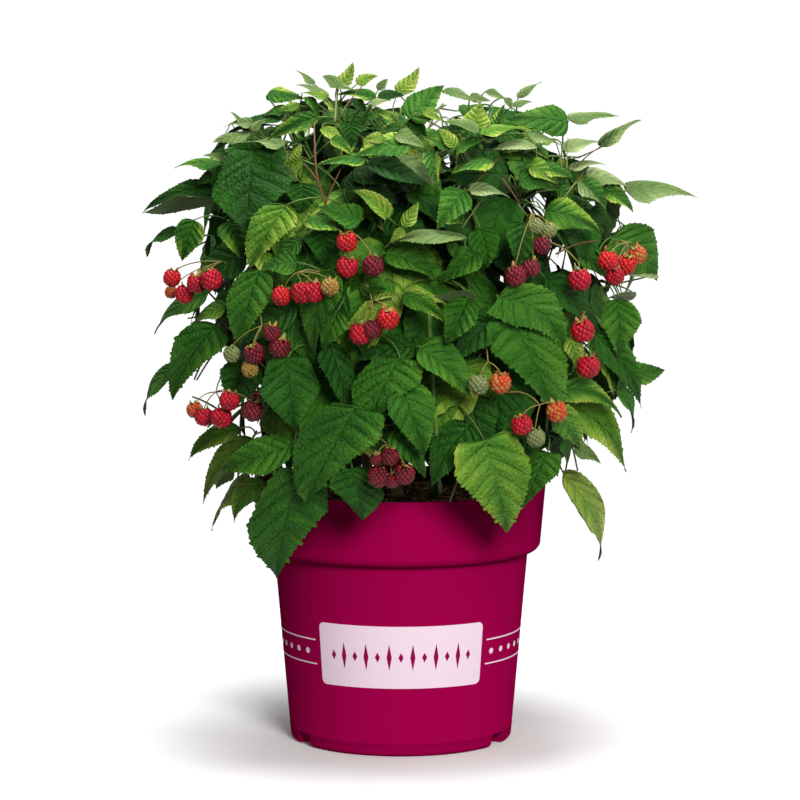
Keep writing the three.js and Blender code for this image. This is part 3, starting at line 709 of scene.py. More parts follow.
# %% The crown's surface
CROWN = {"middle": 0.392, "radius": 0.224, "above": 0.212, "below": 0.236, "power": 3}
CANE_RING = {"count": 6, "turn": 8, "foot": 0.034, "waist": 0.056, "tip": 0.082}
CANE_HEIGHTS = {"rising": 0.022, "waist": 0.360, "tip": 0.478, "middle_tip": 0.496}
GAP = 0.3 * MM
TIERS = (
    {"name": "top", "count": 1, "turn": 0, "rise": 90, "spread": 21, "leaf": 0.052, "fork": 0.78},
    {"name": "shoulder", "count": 6, "turn": 8, "rise": 55, "spread": 21, "leaf": 0.060, "fork": 0.62},
    {"name": "upper", "count": 7, "turn": 0, "rise": 23, "spread": 22, "leaf": 0.074, "fork": 0.5},
    {"name": "middle", "count": 8, "turn": 22, "rise": -7, "spread": 22, "leaf": 0.082, "fork": 0.5},
    {"name": "skirt", "count": 7, "turn": -28, "rise": -36, "spread": 22, "leaf": 0.084, "fork": 0.54},
)


def on_crown(way, share=1.0):
    """The point of the crown's surface in a direction from its middle, or inside it at a share."""
    span = CROWN["above"] if way.z > 0 else CROWN["below"]
    level, rise = math.hypot(way.x, way.y) / CROWN["radius"], abs(way.z) / span
    reach = share / (level ** CROWN["power"] + rise ** CROWN["power"]) ** (1 / CROWN["power"])
    return Vector((way.x * reach, way.y * reach, CROWN["middle"] + way.z * reach))


def outward(way):
    """The crown's outward normal in a direction."""
    span = CROWN["above"] if way.z > 0 else CROWN["below"]
    flat = math.hypot(way.x, way.y) / CROWN["radius"] ** 3
    return Vector((way.x * flat, way.y * flat, way.z * abs(way.z) / span**3)).normalized()


def crown_radius(height):
    span = CROWN["above"] if height > CROWN["middle"] else CROWN["below"]
    rise = min(1, abs(height - CROWN["middle"]) / span)
    return CROWN["radius"] * (1 - rise ** CROWN["power"]) ** (1 / CROWN["power"])


def along_surface(normal):
    """A level and an upright direction along the crown's surface."""
    level = UP.cross(normal)
    level = level.normalized() if level.length > 0.05 else Vector((1, 0, 0))
    return level, normal.cross(level)


# %% Canes, shoots and stems
SHOOT_DROP, SHOOT_STAGGER, SHOOT_BEND, STEM_END = 0.040, 0.016, 0.012, 0.84


def cane_line(number):
    middle = number == 0
    turn = CANE_RING["turn"] + (number - 1) * 360 / CANE_RING["count"]
    dice, ring = dice_for(900 + number), 0.12 if middle else 1
    foot = around(turn - 14, CANE_RING["foot"] * ring * (0.85 + 0.3 * dice()), SOIL_TOP + GAP)
    rising = Vector((foot.x, foot.y, SOIL_TOP + CANE_HEIGHTS["rising"]))
    waist = around(turn - 6 + 12 * dice(), CANE_RING["waist"] * ring, CANE_HEIGHTS["waist"])
    tip = around(turn, CANE_RING["tip"], CANE_HEIGHTS["tip"])
    if middle:
        tip = around(turn, 0.004, CANE_HEIGHTS["middle_tip"])
    return splined([foot, rising, waist, tip])


def shoot_line(mass, canes):
    """A side shoot from the cane that stands nearest on its side, up to its mass."""
    tip = on_crown(mass["way"], mass["fork"])
    side = Vector((mass["way"].x, mass["way"].y, 0)).normalized()
    height = max(tip.z - SHOOT_DROP - (mass["number"] % 2) * SHOOT_STAGGER, SOIL_TOP + 0.030)
    points = [[Vector(p) for p in cane.points] for cane in canes[1:]]
    roots = [min(row, key=lambda p: abs(p.z - height)) for row in points]
    root = max(roots, key=lambda p: p.dot(side))
    return arched(root, root.lerp(tip, 0.5) + UP * SHOOT_BEND, tip)


canes = [cane_line(number) for number in range(CANE_RING["count"] + 1)]
masses = []
for tier in TIERS:
    for i in range(tier["count"]):
        turn = tier["turn"] + i * 360 / tier["count"]
        rise = math.radians(tier["rise"])
        way = around(turn, math.cos(rise), math.sin(rise))
        masses.append({**tier, "node": f"{tier['name']}_{i + 1}", "way": way, "number": len(masses)})
for mass in masses:
    on_cane = mass["number"] <= CANE_RING["count"]
    mass["shoot"] = None if on_cane else shoot_line(mass, canes)
    carrier = canes[mass["number"]] if on_cane else mass["shoot"]
    onward = carrier.way(1)
    start, end = carrier.at(1) + onward * GAP, on_crown(mass["way"], STEM_END)
    mass["stem"] = arched(start, start + onward * 0.4 * (end - start).length, end)
print(len(canes), "canes,", len(masses), "masses")

# %% [markdown]
# ## Bark
# A raspberry cane is green when young and browner with age, with faint ribs, a slight swelling and a
# bud at each node, and small soft prickles. A flat grid is rolled into a tube along the cane's line,
# and each ring's radius carries the taper, the flare at the soil, the ribs and the nodes. A finish
# that turns from green to brown in patches, with fine lengthwise streaks, does the rest.

# %% Rolled bark
CANE_FOOT, CANE_TIP, FLARE, FLARE_HEIGHT = 4.1 * MM, 2.4 * MM, 1.5, 0.022
NODE_STEP, NODE_SWELL, RIBS, RIB_DEPTH = 0.046, 0.16, 5, 0.055

cane_bark = plain_finish("cane_bark", linear(84, 100, 42), 0.55, 0.35)
patches = pattern(cane_bark, "ShaderNodeTexNoise", 30, Detail=4, Roughness=0.65)
two_tones(cane_bark, patches.outputs[0], linear(66, 92, 34), linear(132, 92, 52), 0.4, 0.7)
streaks = pattern(cane_bark, "ShaderNodeTexNoise", 700, Detail=3)
add_relief(cane_bark, streaks.outputs[0], 0.4 * MM, 0.6)
shoot_bark = plain_finish("shoot_bark", linear(98, 122, 50), 0.5, 0.35)
blush = pattern(shoot_bark, "ShaderNodeTexNoise", 45, Detail=3)
two_tones(shoot_bark, blush.outputs[0], linear(92, 124, 46), linear(148, 104, 56), 0.45, 0.72)
add_relief(shoot_bark, pattern(shoot_bark, "ShaderNodeTexNoise", 900, Detail=2).outputs[0], 0.25 * MM, 0.5)


def rolled_limb(name, line, radius_at, sides, step, material):
    """A grid rolled into a tube round a line. radius_at takes the share along and the turn."""
    shape = bmesh.new()
    rings = max(6, round(line.length / step))
    bmesh.ops.create_grid(shape, x_segments=sides, y_segments=rings, size=0.5)
    chord = (line.at(1) - line.at(0)).normalized()
    aside = Vector((1, 0, 0)) if abs(chord.x) < 0.8 else Vector((0, 1, 0))
    for point in shape.verts:
        share, turn = point.co.y + 0.5, math.tau * (point.co.x + 0.5)
        way = line.way(share)
        across = way.cross(aside).normalized()
        ring = across * math.cos(turn) + way.cross(across) * math.sin(turn)
        point.co = line.at(share) + ring * radius_at(share, turn)
    bmesh.ops.remove_doubles(shape, verts=shape.verts, dist=0.02 * MM)
    bmesh.ops.holes_fill(shape, edges=[e for e in shape.edges if e.is_boundary], sides=0)
    bmesh.ops.recalc_face_normals(shape, faces=shape.faces)
    made = piece_of(name, shape, material)
    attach(made, "root")
    return made


def knobbly(length, phase):
    """Ribs and node swellings for a limb of a given length, as a factor of its radius."""

    def factor(share, turn):
        ribs = RIB_DEPTH * math.cos(RIBS * turn + 5 * share + phase)
        to_node = (share * length / NODE_STEP + phase) % 1
        node = NODE_SWELL * math.exp(-((min(to_node, 1 - to_node) / 0.07) ** 2))
        side = 0.5 + 0.5 * math.cos(turn - 2.4 * math.floor(share * length / NODE_STEP + phase))
        return 1 + ribs + node * (0.5 + 1.2 * side**3)

    return factor


for number, line in enumerate(canes):
    shape_factor = knobbly(line.length, 0.3 * number)
    rise = line.points[-1][2] - SOIL_TOP

    def cane_radius(share, turn):
        height = line.at(share).z - SOIL_TOP - GAP
        flare = (FLARE - 1) * max(0, 1 - height / FLARE_HEIGHT) ** 2
        return (CANE_FOOT + (CANE_TIP - CANE_FOOT) * height / rise) * (1 + flare) * shape_factor(share, turn)

    cane = rolled_limb(f"cane_{number + 1}_bark", line, cane_radius, 15, 3.2 * MM, cane_bark)
    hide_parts(f"cane_{number + 1}")
for mass in masses:
    if mass["shoot"] is None:
        continue
    shape_factor = knobbly(mass["shoot"].length, 0.17 * mass["number"])

    def shoot_radius(share, turn):
        return between(2.9, 2.2, share) * MM * shape_factor(share, turn)

    shoot = rolled_limb(f"shoot_{mass['node']}_bark", mass["shoot"], shoot_radius, 10, 3.2 * MM, shoot_bark)
    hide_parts(f"shoot_{mass['node']}")

# %% [markdown]
# ## The shape of one leaflet
# A raspberry leaflet is egg-shaped with a heart-shaped foot and a drawn-out tip. Seven or so side
# veins leave the midrib on each hand and curve forward to the margin, each ending in a tooth, with
# smaller teeth between. The blade is pleated: it dips along each vein and swells between them.
#
# One flat grid holds all of that. Its rows follow the veins, its columns run beside the midrib, and a
# second sheet joined to it at the margin closes the blade. A profile says what happens from one vein
# to the next: the share of the way, how far the margin's tooth stands out there, and how high the
# blade swells. Three grids are made, from a fine one for the broad leaves in plain sight to a coarse
# one of a few dozen faces for the many leaves behind them.

# %% Leaflet grids
UPPER, VEIN, UNDER = range(3)
VEIN_HALF = 0.045
TOOTHED = ((-VEIN_HALF, 1, -1), (VEIN_HALF, 0.9, -1), (0.16, -0.8, -0.3), (0.34, 0.2, 0.7), (0.5, -0.5, 1),
           (0.7, 0.3, 0.8), (0.86, -0.7, -0.1))
SIMPLY_TOOTHED = ((-VEIN_HALF, 1, -1), (VEIN_HALF, 0.9, -1), (0.3, -0.8, 0.7), (0.6, 0.3, 1),
                  (0.82, -0.6, 0.2))
PLAIN = ((0, 1, 0), (0.5, -0.8, 0.4))


class Blade:
    """A leaflet's grid: for each corner its share along and across, its tooth, swelling and side."""

    def __init__(self, veins, profile, columns, under_columns):
        self.profile = {}
        for vein in range(veins):
            for offset, tooth, swell in profile:
                self.profile[max(0.0, round((vein + offset) / veins, 5))] = (tooth, swell)
        self.profile[1.0] = (0, 0)
        rows = sorted(self.profile)
        shape = bmesh.new()
        for columns_here, side in ((columns, 1), (under_columns, -1)):
            across = [-c for c in reversed(columns_here)] + [0.0, *columns_here]
            sheet = bmesh.new()
            bmesh.ops.create_grid(sheet, x_segments=len(across) - 1, y_segments=len(rows) - 1, size=0.5)
            for point in sheet.verts:
                column = round((point.co.x + 0.5) * (len(across) - 1))
                row = round((point.co.y + 0.5) * (len(rows) - 1))
                on_margin = column in (0, len(across) - 1) or row in (0, len(rows) - 1)
                point.co = (across[column], rows[row], 0 if on_margin else side)
            if side < 0:
                bmesh.ops.reverse_faces(sheet, faces=sheet.faces)
            joined = bpy.data.meshes.new("sheet")
            sheet.to_mesh(joined)
            sheet.free()
            shape.from_mesh(joined)
            bpy.data.meshes.remove(joined)
        bmesh.ops.remove_doubles(shape, verts=shape.verts, dist=1e-5)
        grid = Template(shape)
        self.faces = grid.faces
        self.c, self.s, self.lift = grid.points.T
        self.flat = grid.points[:, :2]
        found = np.array([self.profile[min(rows, key=lambda row: abs(row - s))] for s in self.s])
        self.tooth = np.where(np.abs(self.c) > 0.99, found[:, 0], 0.0)
        self.swell = found[:, 1] * np.sin(math.pi * np.abs(self.c) ** 0.7)
        middle = grid.face_middles()
        side, to_vein = np.abs(middle[:, 0]), (middle[:, 1] * veins + 0.5) % 1.0 - 0.5
        self.kind = np.full(len(middle), UPPER)
        if len(columns) > 2:
            on_vein = (np.abs(to_vein) < VEIN_HALF) & (side < columns[-2])
            self.kind[on_vein | (side < columns[0])] = VEIN
        self.kind[middle[:, 2] < 0] = UNDER
        self.middle_across, self.middle_along, self.veins = middle[:, 0], middle[:, 1], veins


broad_blade = Blade(7, TOOTHED, (0.018, 0.26, 0.48, 0.68, 0.86, 1.0), (0.018, 0.26, 0.48, 0.68, 0.86, 1.0))
fine_blade = Blade(7, SIMPLY_TOOTHED, (0.03, 0.5, 0.84, 1.0), (0.03, 0.5, 0.84, 1.0))
coarse_blade = Blade(5, PLAIN, (0.55, 1.0), (1.0,))
for name, blade in (("broad", broad_blade), ("fine", fine_blade), ("coarse", coarse_blade)):
    print("the", name, "leaflet has", len(blade.kind), "faces")

# %% [markdown]
# ## Bending a leaflet into place
# No two leaves lie alike. Each one has a length, a breadth, how far it droops from foot to tip, how
# much it folds along its midrib, how far its margins roll up and show their pale backs, a slow wave
# and a twist. All leaves that share a grid are bent at once, because numpy works on whole arrays.

# %% Bent leaflets
TOOTH, PLEAT, BLADE_THICKNESS = 0.016, 0.008, 0.16 * MM


def bent_blades(blade, leaves):
    """The corners of every leaf in a list, as (leaves, corners, 3)."""

    def value(key):
        return np.array([leaf[key] for leaf in leaves], float)[:, None]

    length, broad, droop, phase = value("length"), value("broad"), value("droop"), value("phase")
    s, side, out = blade.s[None], np.sign(blade.c)[None], np.abs(blade.c)[None]
    widest = value("widest")
    rising = np.sin(math.pi / 2 * np.clip(s / widest, 0, 1)) ** 0.62
    half = 0.5 * broad * rising * np.clip((1 - s) / (1 - widest), 0, 1) ** 0.84
    half = np.maximum(half * (1 - 0.35 * np.clip(s, 0, 1) ** 8), 0.006)
    lobe = value("heart") * np.sin(math.pi * np.clip(s / 0.3, 0, 1)) ** 1.1
    midrib = 0.03 * s + 0.97 * np.clip((s - 0.16) / 0.84, 0, 1) ** 1.6
    margin = s**1.03 - lobe
    size = TOOTH * np.clip(s * 9, 0.1, 1) * np.clip((1 - s) * 7, 0, 1) * np.clip(broad * 1.6, 0.35, 1)
    tooth = blade.tooth[None] * size * (1 + 0.25 * np.sin(37 * s + phase))
    along = midrib + (margin - midrib) * out**1.25 + 0.75 * np.maximum(tooth, 0)
    along = along - value("raised") * side * out * np.sin(math.pi * np.clip(s, 0, 1))
    flat = np.minimum(out, 0.62)
    turned = value("roll") * np.clip((out - 0.62) / 0.38, 0, 1) * np.sin(math.pi * np.clip(s, 0, 1)) ** 0.5
    aside = half * (flat + (out - flat) * np.cos(turned)) + tooth
    rise = half * (out - flat) * np.sin(turned)
    rise = rise + value("fold") * aside - value("cup") * aside**2
    rise = rise + PLEAT * value("pleated") * blade.swell[None] * np.clip(half / 0.3, 0, 1)
    waving = np.sin(math.tau * (1.4 * s + phase) + 0.9 * side)
    rise = rise + value("wave") * waving * out**2 * np.clip(s * 4, 0, 1)
    rise = rise + blade.lift[None] * BLADE_THICKNESS / length
    twist = value("twist") * (s - 0.2)
    across = side * aside * np.cos(twist) - rise * np.sin(twist) + 4 * value("sweep") * along * (1 - along)
    lifted = side * aside * np.sin(twist) + rise * np.cos(twist)
    angle = droop * along
    safe = np.where(np.abs(droop) < 1e-3, 1e-3, droop)
    forward, down = np.sin(safe * along) / safe, (1 - np.cos(safe * along)) / safe
    way, face = (np.array([leaf[key] for leaf in leaves], float)[:, None] for key in ("way", "face"))
    level = np.cross(way, face)
    root = np.array([leaf["root"] for leaf in leaves], float)[:, None]
    normal = face * np.cos(angle)[..., None] + way * np.sin(angle)[..., None]
    flat_part = way * forward[..., None] - face * down[..., None]
    bent = flat_part + level * across[..., None] + normal * lifted[..., None]
    return root + length[..., None] * bent


def leaf_of(root, way, face, length, tone, dice, **settings):
    """A leaflet's facts, with a natural spread of bends where none is given."""
    facts = {"broad": between(0.7, 0.82, dice()), "droop": between(0.25, 0.75, dice()),
             "fold": between(0.0, 0.22, dice()), "cup": between(0.0, 0.5, dice()), "roll": 0.0,
             "heart": between(0.03, 0.075, dice()), "wave": between(0.0, 0.022, dice()),
             "twist": between(-0.35, 0.35, dice()), "phase": between(0, 6, dice()), "pleated": 1.0,
             "sweep": between(-0.07, 0.07, dice()), "widest": between(0.27, 0.37, dice()),
             "dry": 0.0, "raised": 0.0}
    facts.update(settings)
    face = (face - way * face.dot(way)).normalized()
    shade = between(-0.05, 0.05, dice())
    return {"root": root, "way": way, "face": face, "length": length, "tone": tone, "shade": shade, **facts}


# %% [markdown]
# ## Leaf colours
# The colour of a leaf has its place: leaves deep inside the crown are dealt the darkest greens, which is
# painted shade, those outside fresher ones, and the brightest step is painted light, for leaves lit through
# from behind. Some turn lime towards the margin between their veins, and the youngest at the top are pale
# and downy. So there are two scales of plain colours, one green and one downy, and every face of a leaf is
# dealt a step of its scale: the leaf's own level, a little less on the veins, which is painted shade in
# their furrows, more towards the margin where the leaf is limed, a slow mottling, and a fine flicker from
# face to face, painted light and shade on the leaf's wrinkles. Backs have a pale felted colour of their
# own, in four steps that follow the leaf's tone, so they carry some of the same painted light and shade.
#
# The finish adds what is fine and even: a gloss that wanders, and the veins in relief, drawn on the
# leaf's own flat map, where a side vein runs straight across.

# %% Leaf tones
GREENS = ((15, 45, 10), (25, 67, 14), (40, 89, 20), (64, 112, 30), (100, 138, 42), (136, 159, 59),
          (165, 180, 89))
DOWNIES = ((60, 88, 40), (90, 112, 60), (120, 137, 88), (156, 165, 124))
BACKS = ((62, 84, 50), (84, 108, 64), (110, 132, 88), (146, 160, 126))
DRY = (104, 78, 44)
GREEN_STEPS, DOWNY_STEPS = 19, 7


def blended(colours, steps):
    """Evenly spaced steps along a row of colours."""
    found = []
    for i in range(steps):
        place = i * (len(colours) - 1) / (steps - 1)
        first = min(int(place), len(colours) - 2)
        found.append([a + (b - a) * (place - first) for a, b in zip(colours[first], colours[first + 1])])
    return found


# deep is painted shade for leaves inside the crown, dark is partly that and partly a leaf's own darker
# green, and bright is painted light.
TONES = {
    "deep": ("green", 0.06, 0.05, 0), "dark": ("green", 0.21, 0.1, 0), "mid": ("green", 0.37, 0.14, 1),
    "fresh": ("green", 0.56, 0.28, 1), "limed": ("green", 0.38, 0.6, 1), "bright": ("green", 0.7, 0.25, 2),
    "young": ("downy", 0.25, 0.4, 2), "downy": ("downy", 0.55, 0.3, 3),
}
SIDE_VEINS, LADDER = 7, 17


def worked_out(material, operation, *values):
    """A sum, product or other step of arithmetic in a finish."""
    step = material.node_tree.nodes.new("ShaderNodeMath")
    step.operation = operation
    for socket, value in zip(step.inputs, values):
        if isinstance(value, (int, float)):
            socket.default_value = value
        else:
            material.node_tree.links.new(value, socket)
    return step.outputs[0]


def vein_relief(material):
    """Height of a blade on its flat map: furrows along the veins, cushions and a fine ladder between."""
    nodes, links = material.node_tree.nodes, material.node_tree.links
    place = nodes.new("ShaderNodeUVMap")
    place.uv_map = "flat"
    parts = nodes.new("ShaderNodeSeparateXYZ")
    links.new(place.outputs[0], parts.inputs[0])
    out, along = worked_out(material, "ABSOLUTE", parts.outputs["X"]), parts.outputs["Y"]
    rows = worked_out(material, "MULTIPLY", along, SIDE_VEINS)
    to_vein = worked_out(material, "MULTIPLY", worked_out(material, "PINGPONG", rows, 0.5), 2)
    cushion = worked_out(material, "POWER", to_vein, 0.4)
    beside_midrib = worked_out(material, "MINIMUM", worked_out(material, "MULTIPLY", out, 9), 1)
    cushion = worked_out(material, "MULTIPLY", cushion, beside_midrib)
    rungs = worked_out(material, "PINGPONG", worked_out(material, "MULTIPLY", out, LADDER), 0.5)
    net = pattern(material, "ShaderNodeTexVoronoi", 360)
    fine = worked_out(material, "MULTIPLY_ADD", rungs, 0.45, net.outputs["Distance"])
    return worked_out(material, "MULTIPLY_ADD", fine, 0.8, cushion)


leaf_finishes = []


def leaf_finish(name, colour, rough, gloss, relief):
    finish = plain_finish(name, linear(*colour), rough, gloss)
    vary_gloss(finish, 60, rough - 0.08, rough + 0.12)
    add_relief(finish, vein_relief(finish), 1.3 * MM, relief)
    leaf_finishes.append(finish)


for number, colour in enumerate(blended(GREENS, GREEN_STEPS)):
    leaf_finish(f"leaf_green_{number + 1}", colour, 0.52, 0.12, 1.3)
for number, colour in enumerate(blended(DOWNIES, DOWNY_STEPS)):
    leaf_finish(f"leaf_downy_{number + 1}", colour, 0.65, 0.12, 0.8)
for number, colour in enumerate(BACKS):
    leaf_finish(f"leaf_back_{number + 1}", colour, 0.82, 0.08, 0.5)
leaf_finish("leaf_dry", DRY, 0.8, 0.1, 0.9)
FIRST_DOWNY, FIRST_BACK = GREEN_STEPS, GREEN_STEPS + DOWNY_STEPS
DRY_FINISH = FIRST_BACK + len(BACKS)
stalk_tones = {"green": (74, 104, 36), "olive": (94, 98, 44), "brown": (84, 56, 30),
               "gold": (124, 110, 54)}
stalk_finishes = []
for name, colour in stalk_tones.items():
    finish = plain_finish(f"stalk_{name}", linear(*colour), 0.55, 0.35)
    vary_gloss(finish, 90, 0.45, 0.65)
    stalk_finishes.append(finish)
STALK = {name: number for number, name in enumerate(stalk_tones)}


def leaf_steps(blade, leaf):
    """The finish of every face of a leaf."""
    scale, level, liming, back = TONES[leaf["tone"]]
    along, out, side = blade.middle_along, np.abs(blade.middle_across), np.sign(blade.middle_across)
    phase = leaf["phase"]
    mottle = np.sin(9 * along + 5 * phase + 2 * side) * np.sin(3.1 * along * side + 4 * out + phase)
    cells = np.sin(43.7 * np.floor(along * blade.veins + 0.5) + 11 * side + 7 * phase)
    patchy = np.clip(0.55 + 0.6 * cells + 0.3 * mottle, 0, 1.3)
    found = level + leaf["shade"] + 0.05 * mottle + liming * patchy * np.clip((out - 0.2) / 0.8, 0, 1) ** 1.2
    # A fine flicker of steps from face to face: painted light and shade on the leaf's wrinkles.
    wrinkle_light_and_shade = np.sin(61.3 * along * blade.veins + 23.7 * out + phase)
    wrinkle_light_and_shade = wrinkle_light_and_shade * np.sin(17.9 * along + 53.1 * out * side)
    # Vein faces a step darker: painted shade in the furrows along the veins.
    found = found + np.where(blade.kind == VEIN, -0.05, 0.05 * wrinkle_light_and_shade)
    count, first = (GREEN_STEPS, 0) if scale == "green" else (DOWNY_STEPS, FIRST_DOWNY)
    steps = first + np.clip(np.round(found * (count - 1)), 0, count - 1).astype(int)
    steps = np.where(blade.kind == UNDER, FIRST_BACK + back, steps)
    withered = (along > 1 - leaf["dry"]) & (cells + 6 * (along - 1 + leaf["dry"]) > -0.2)
    return np.where(withered, DRY_FINISH, steps)


def add_leaves(heap, blade, leaves):
    if leaves:
        steps = np.array([leaf_steps(blade, leaf) for leaf in leaves])
        heap.add(bent_blades(blade, leaves), blade.faces, steps, blade.flat)


# %% [markdown]
# ## Room for each leaf
# Leaves don't grow through each other, so a leaf is set down only where there is room. A leaf is
# tested as a bent kite of four triangles, against the limbs and against every leaf near it.

# %% Keeping leaves apart
REACH_SPARE, MOST_STANDING = 0.010, 4000
low_limit = [low - REACH_SPARE for low in cad_box[0]]
high_limit = [high + REACH_SPARE for high in cad_box[1]]
limb_points, limb_faces = [], []
for node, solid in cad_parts.items():
    if not node.startswith("foliage"):
        first = len(limb_points)
        limb_points += [v.co.copy() for v in solid.data.vertices]
        limb_faces += [[first + i for i in face.vertices] for face in solid.data.polygons]
limbs = BVHTree.FromPolygons(limb_points, limb_faces)


class Standing:
    """What already stands in the crown: search trees with their middles and reaches."""

    def __init__(self):
        self.trees, self.middles, self.reaches = [], np.zeros((MOST_STANDING, 3)), np.zeros(MOST_STANDING)

    def near(self, middle, reach):
        count = len(self.trees)
        apart = np.linalg.norm(self.middles[:count] - np.array(middle), axis=1)
        return [self.trees[i] for i in np.nonzero(apart < self.reaches[:count] + reach)[0]]

    def add(self, kite):
        self.middles[len(self.trees)], self.reaches[len(self.trees)] = kite["middle"], kite["reach"]
        self.trees.append(kite["tree"])


standing = Standing()


def kite_of(leaf):
    """Four triangles that follow a leaf, as a search tree, with its middle and reach."""
    way, face = leaf["way"], leaf["face"]
    level, length, droop = way.cross(face), leaf["length"], max(leaf["droop"], 0.01)

    def spot(along, across):
        forward, down = math.sin(droop * along) / droop, (1 - math.cos(droop * along)) / droop
        rise = leaf["fold"] * abs(across)
        return leaf["root"] + length * (way * forward + level * across + face * (rise - down))

    half = 0.42 * leaf["broad"]
    points = [spot(0, 0), spot(0.35, -half), spot(0.35, half), spot(0.5, 0), spot(1, 0)]
    tree = BVHTree.FromPolygons(points, [(0, 1, 3), (0, 3, 2), (1, 4, 3), (3, 4, 2)])
    middle = (points[0] + points[4]) / 2
    reach = max((p - middle).length for p in points)
    return {"tree": tree, "middle": middle, "reach": reach, "points": points}


def crown_share(point):
    """How far out a point lies: 1 on the crown's surface, less inside it."""
    rise = point.z - CROWN["middle"]
    span = CROWN["above"] if rise > 0 else CROWN["below"]
    level = math.hypot(point.x, point.y) / CROWN["radius"]
    return (level ** CROWN["power"] + abs(rise / span) ** CROWN["power"]) ** (1 / CROWN["power"])


def has_room(kite, outmost=9.0):
    for point in kite["points"]:
        if crown_share(point) > outmost:
            return False
        if any(not low < value < high for low, value, high in zip(low_limit, point, high_limit)):
            return False
    if kite["tree"].overlap(limbs):
        return False
    return not any(kite["tree"].overlap(other) for other in standing.near(kite["middle"], kite["reach"]))


# %% [markdown]
# ## Stems and twigs inside the masses
# Each mass hangs on a stem that goes on from its shoot, and the stem forks into a few thin twigs that
# reach out under the leaves. Leaf stalks start from whichever of these lies nearest.

# %% Twigs
TWIGS, TWIG_END = 5, 0.86
GOLDEN = 137.5


def aside_from(way, degrees, turn):
    """A direction turned away from another by some degrees, towards a turn round it."""
    level, upright = along_surface(way)
    lean = level * math.cos(turn) + upright * math.sin(turn)
    return way * math.cos(math.radians(degrees)) + lean * math.sin(math.radians(degrees))


anchors = []


def nearest_anchor(point):
    """The place on a stem or twig that lies nearest to a point."""
    apart = np.linalg.norm(np.array(anchors) - np.array(point), axis=1)
    return anchors[int(np.argmin(apart))]


stalks = {tier["name"]: Heap() for tier in TIERS}
for mass in masses:
    dice = dice_for(300 + mass["number"])
    way, heap = mass["way"].normalized(), stalks[mass["name"]]
    heap.add_tube(mass["stem"], 2.0 * MM, 1.2 * MM, 10, STALK["green"], sides=6)
    anchors += [mass["stem"].at(share) for share in np.linspace(0.3, 1, 6)]
    for twig in range(TWIGS):
        root = mass["stem"].at(between(0.25, 0.8, (twig + dice()) / TWIGS))
        away = between(0.5, 0.85, dice()) * mass["spread"]
        tip = on_crown(aside_from(way, away, math.radians(GOLDEN * twig) + dice()), TWIG_END)
        line = arched(root, root.lerp(tip, 0.5) + UP * 0.12 * (tip - root).length, tip, 8)
        heap.add_tube(line, 1.2 * MM, 0.8 * MM, 6, STALK["olive" if dice() < 0.3 else "green"], sides=5)
        anchors += [line.at(share) for share in np.linspace(0.35, 1, 5)]
print(len(anchors), "places for leaf stalks")
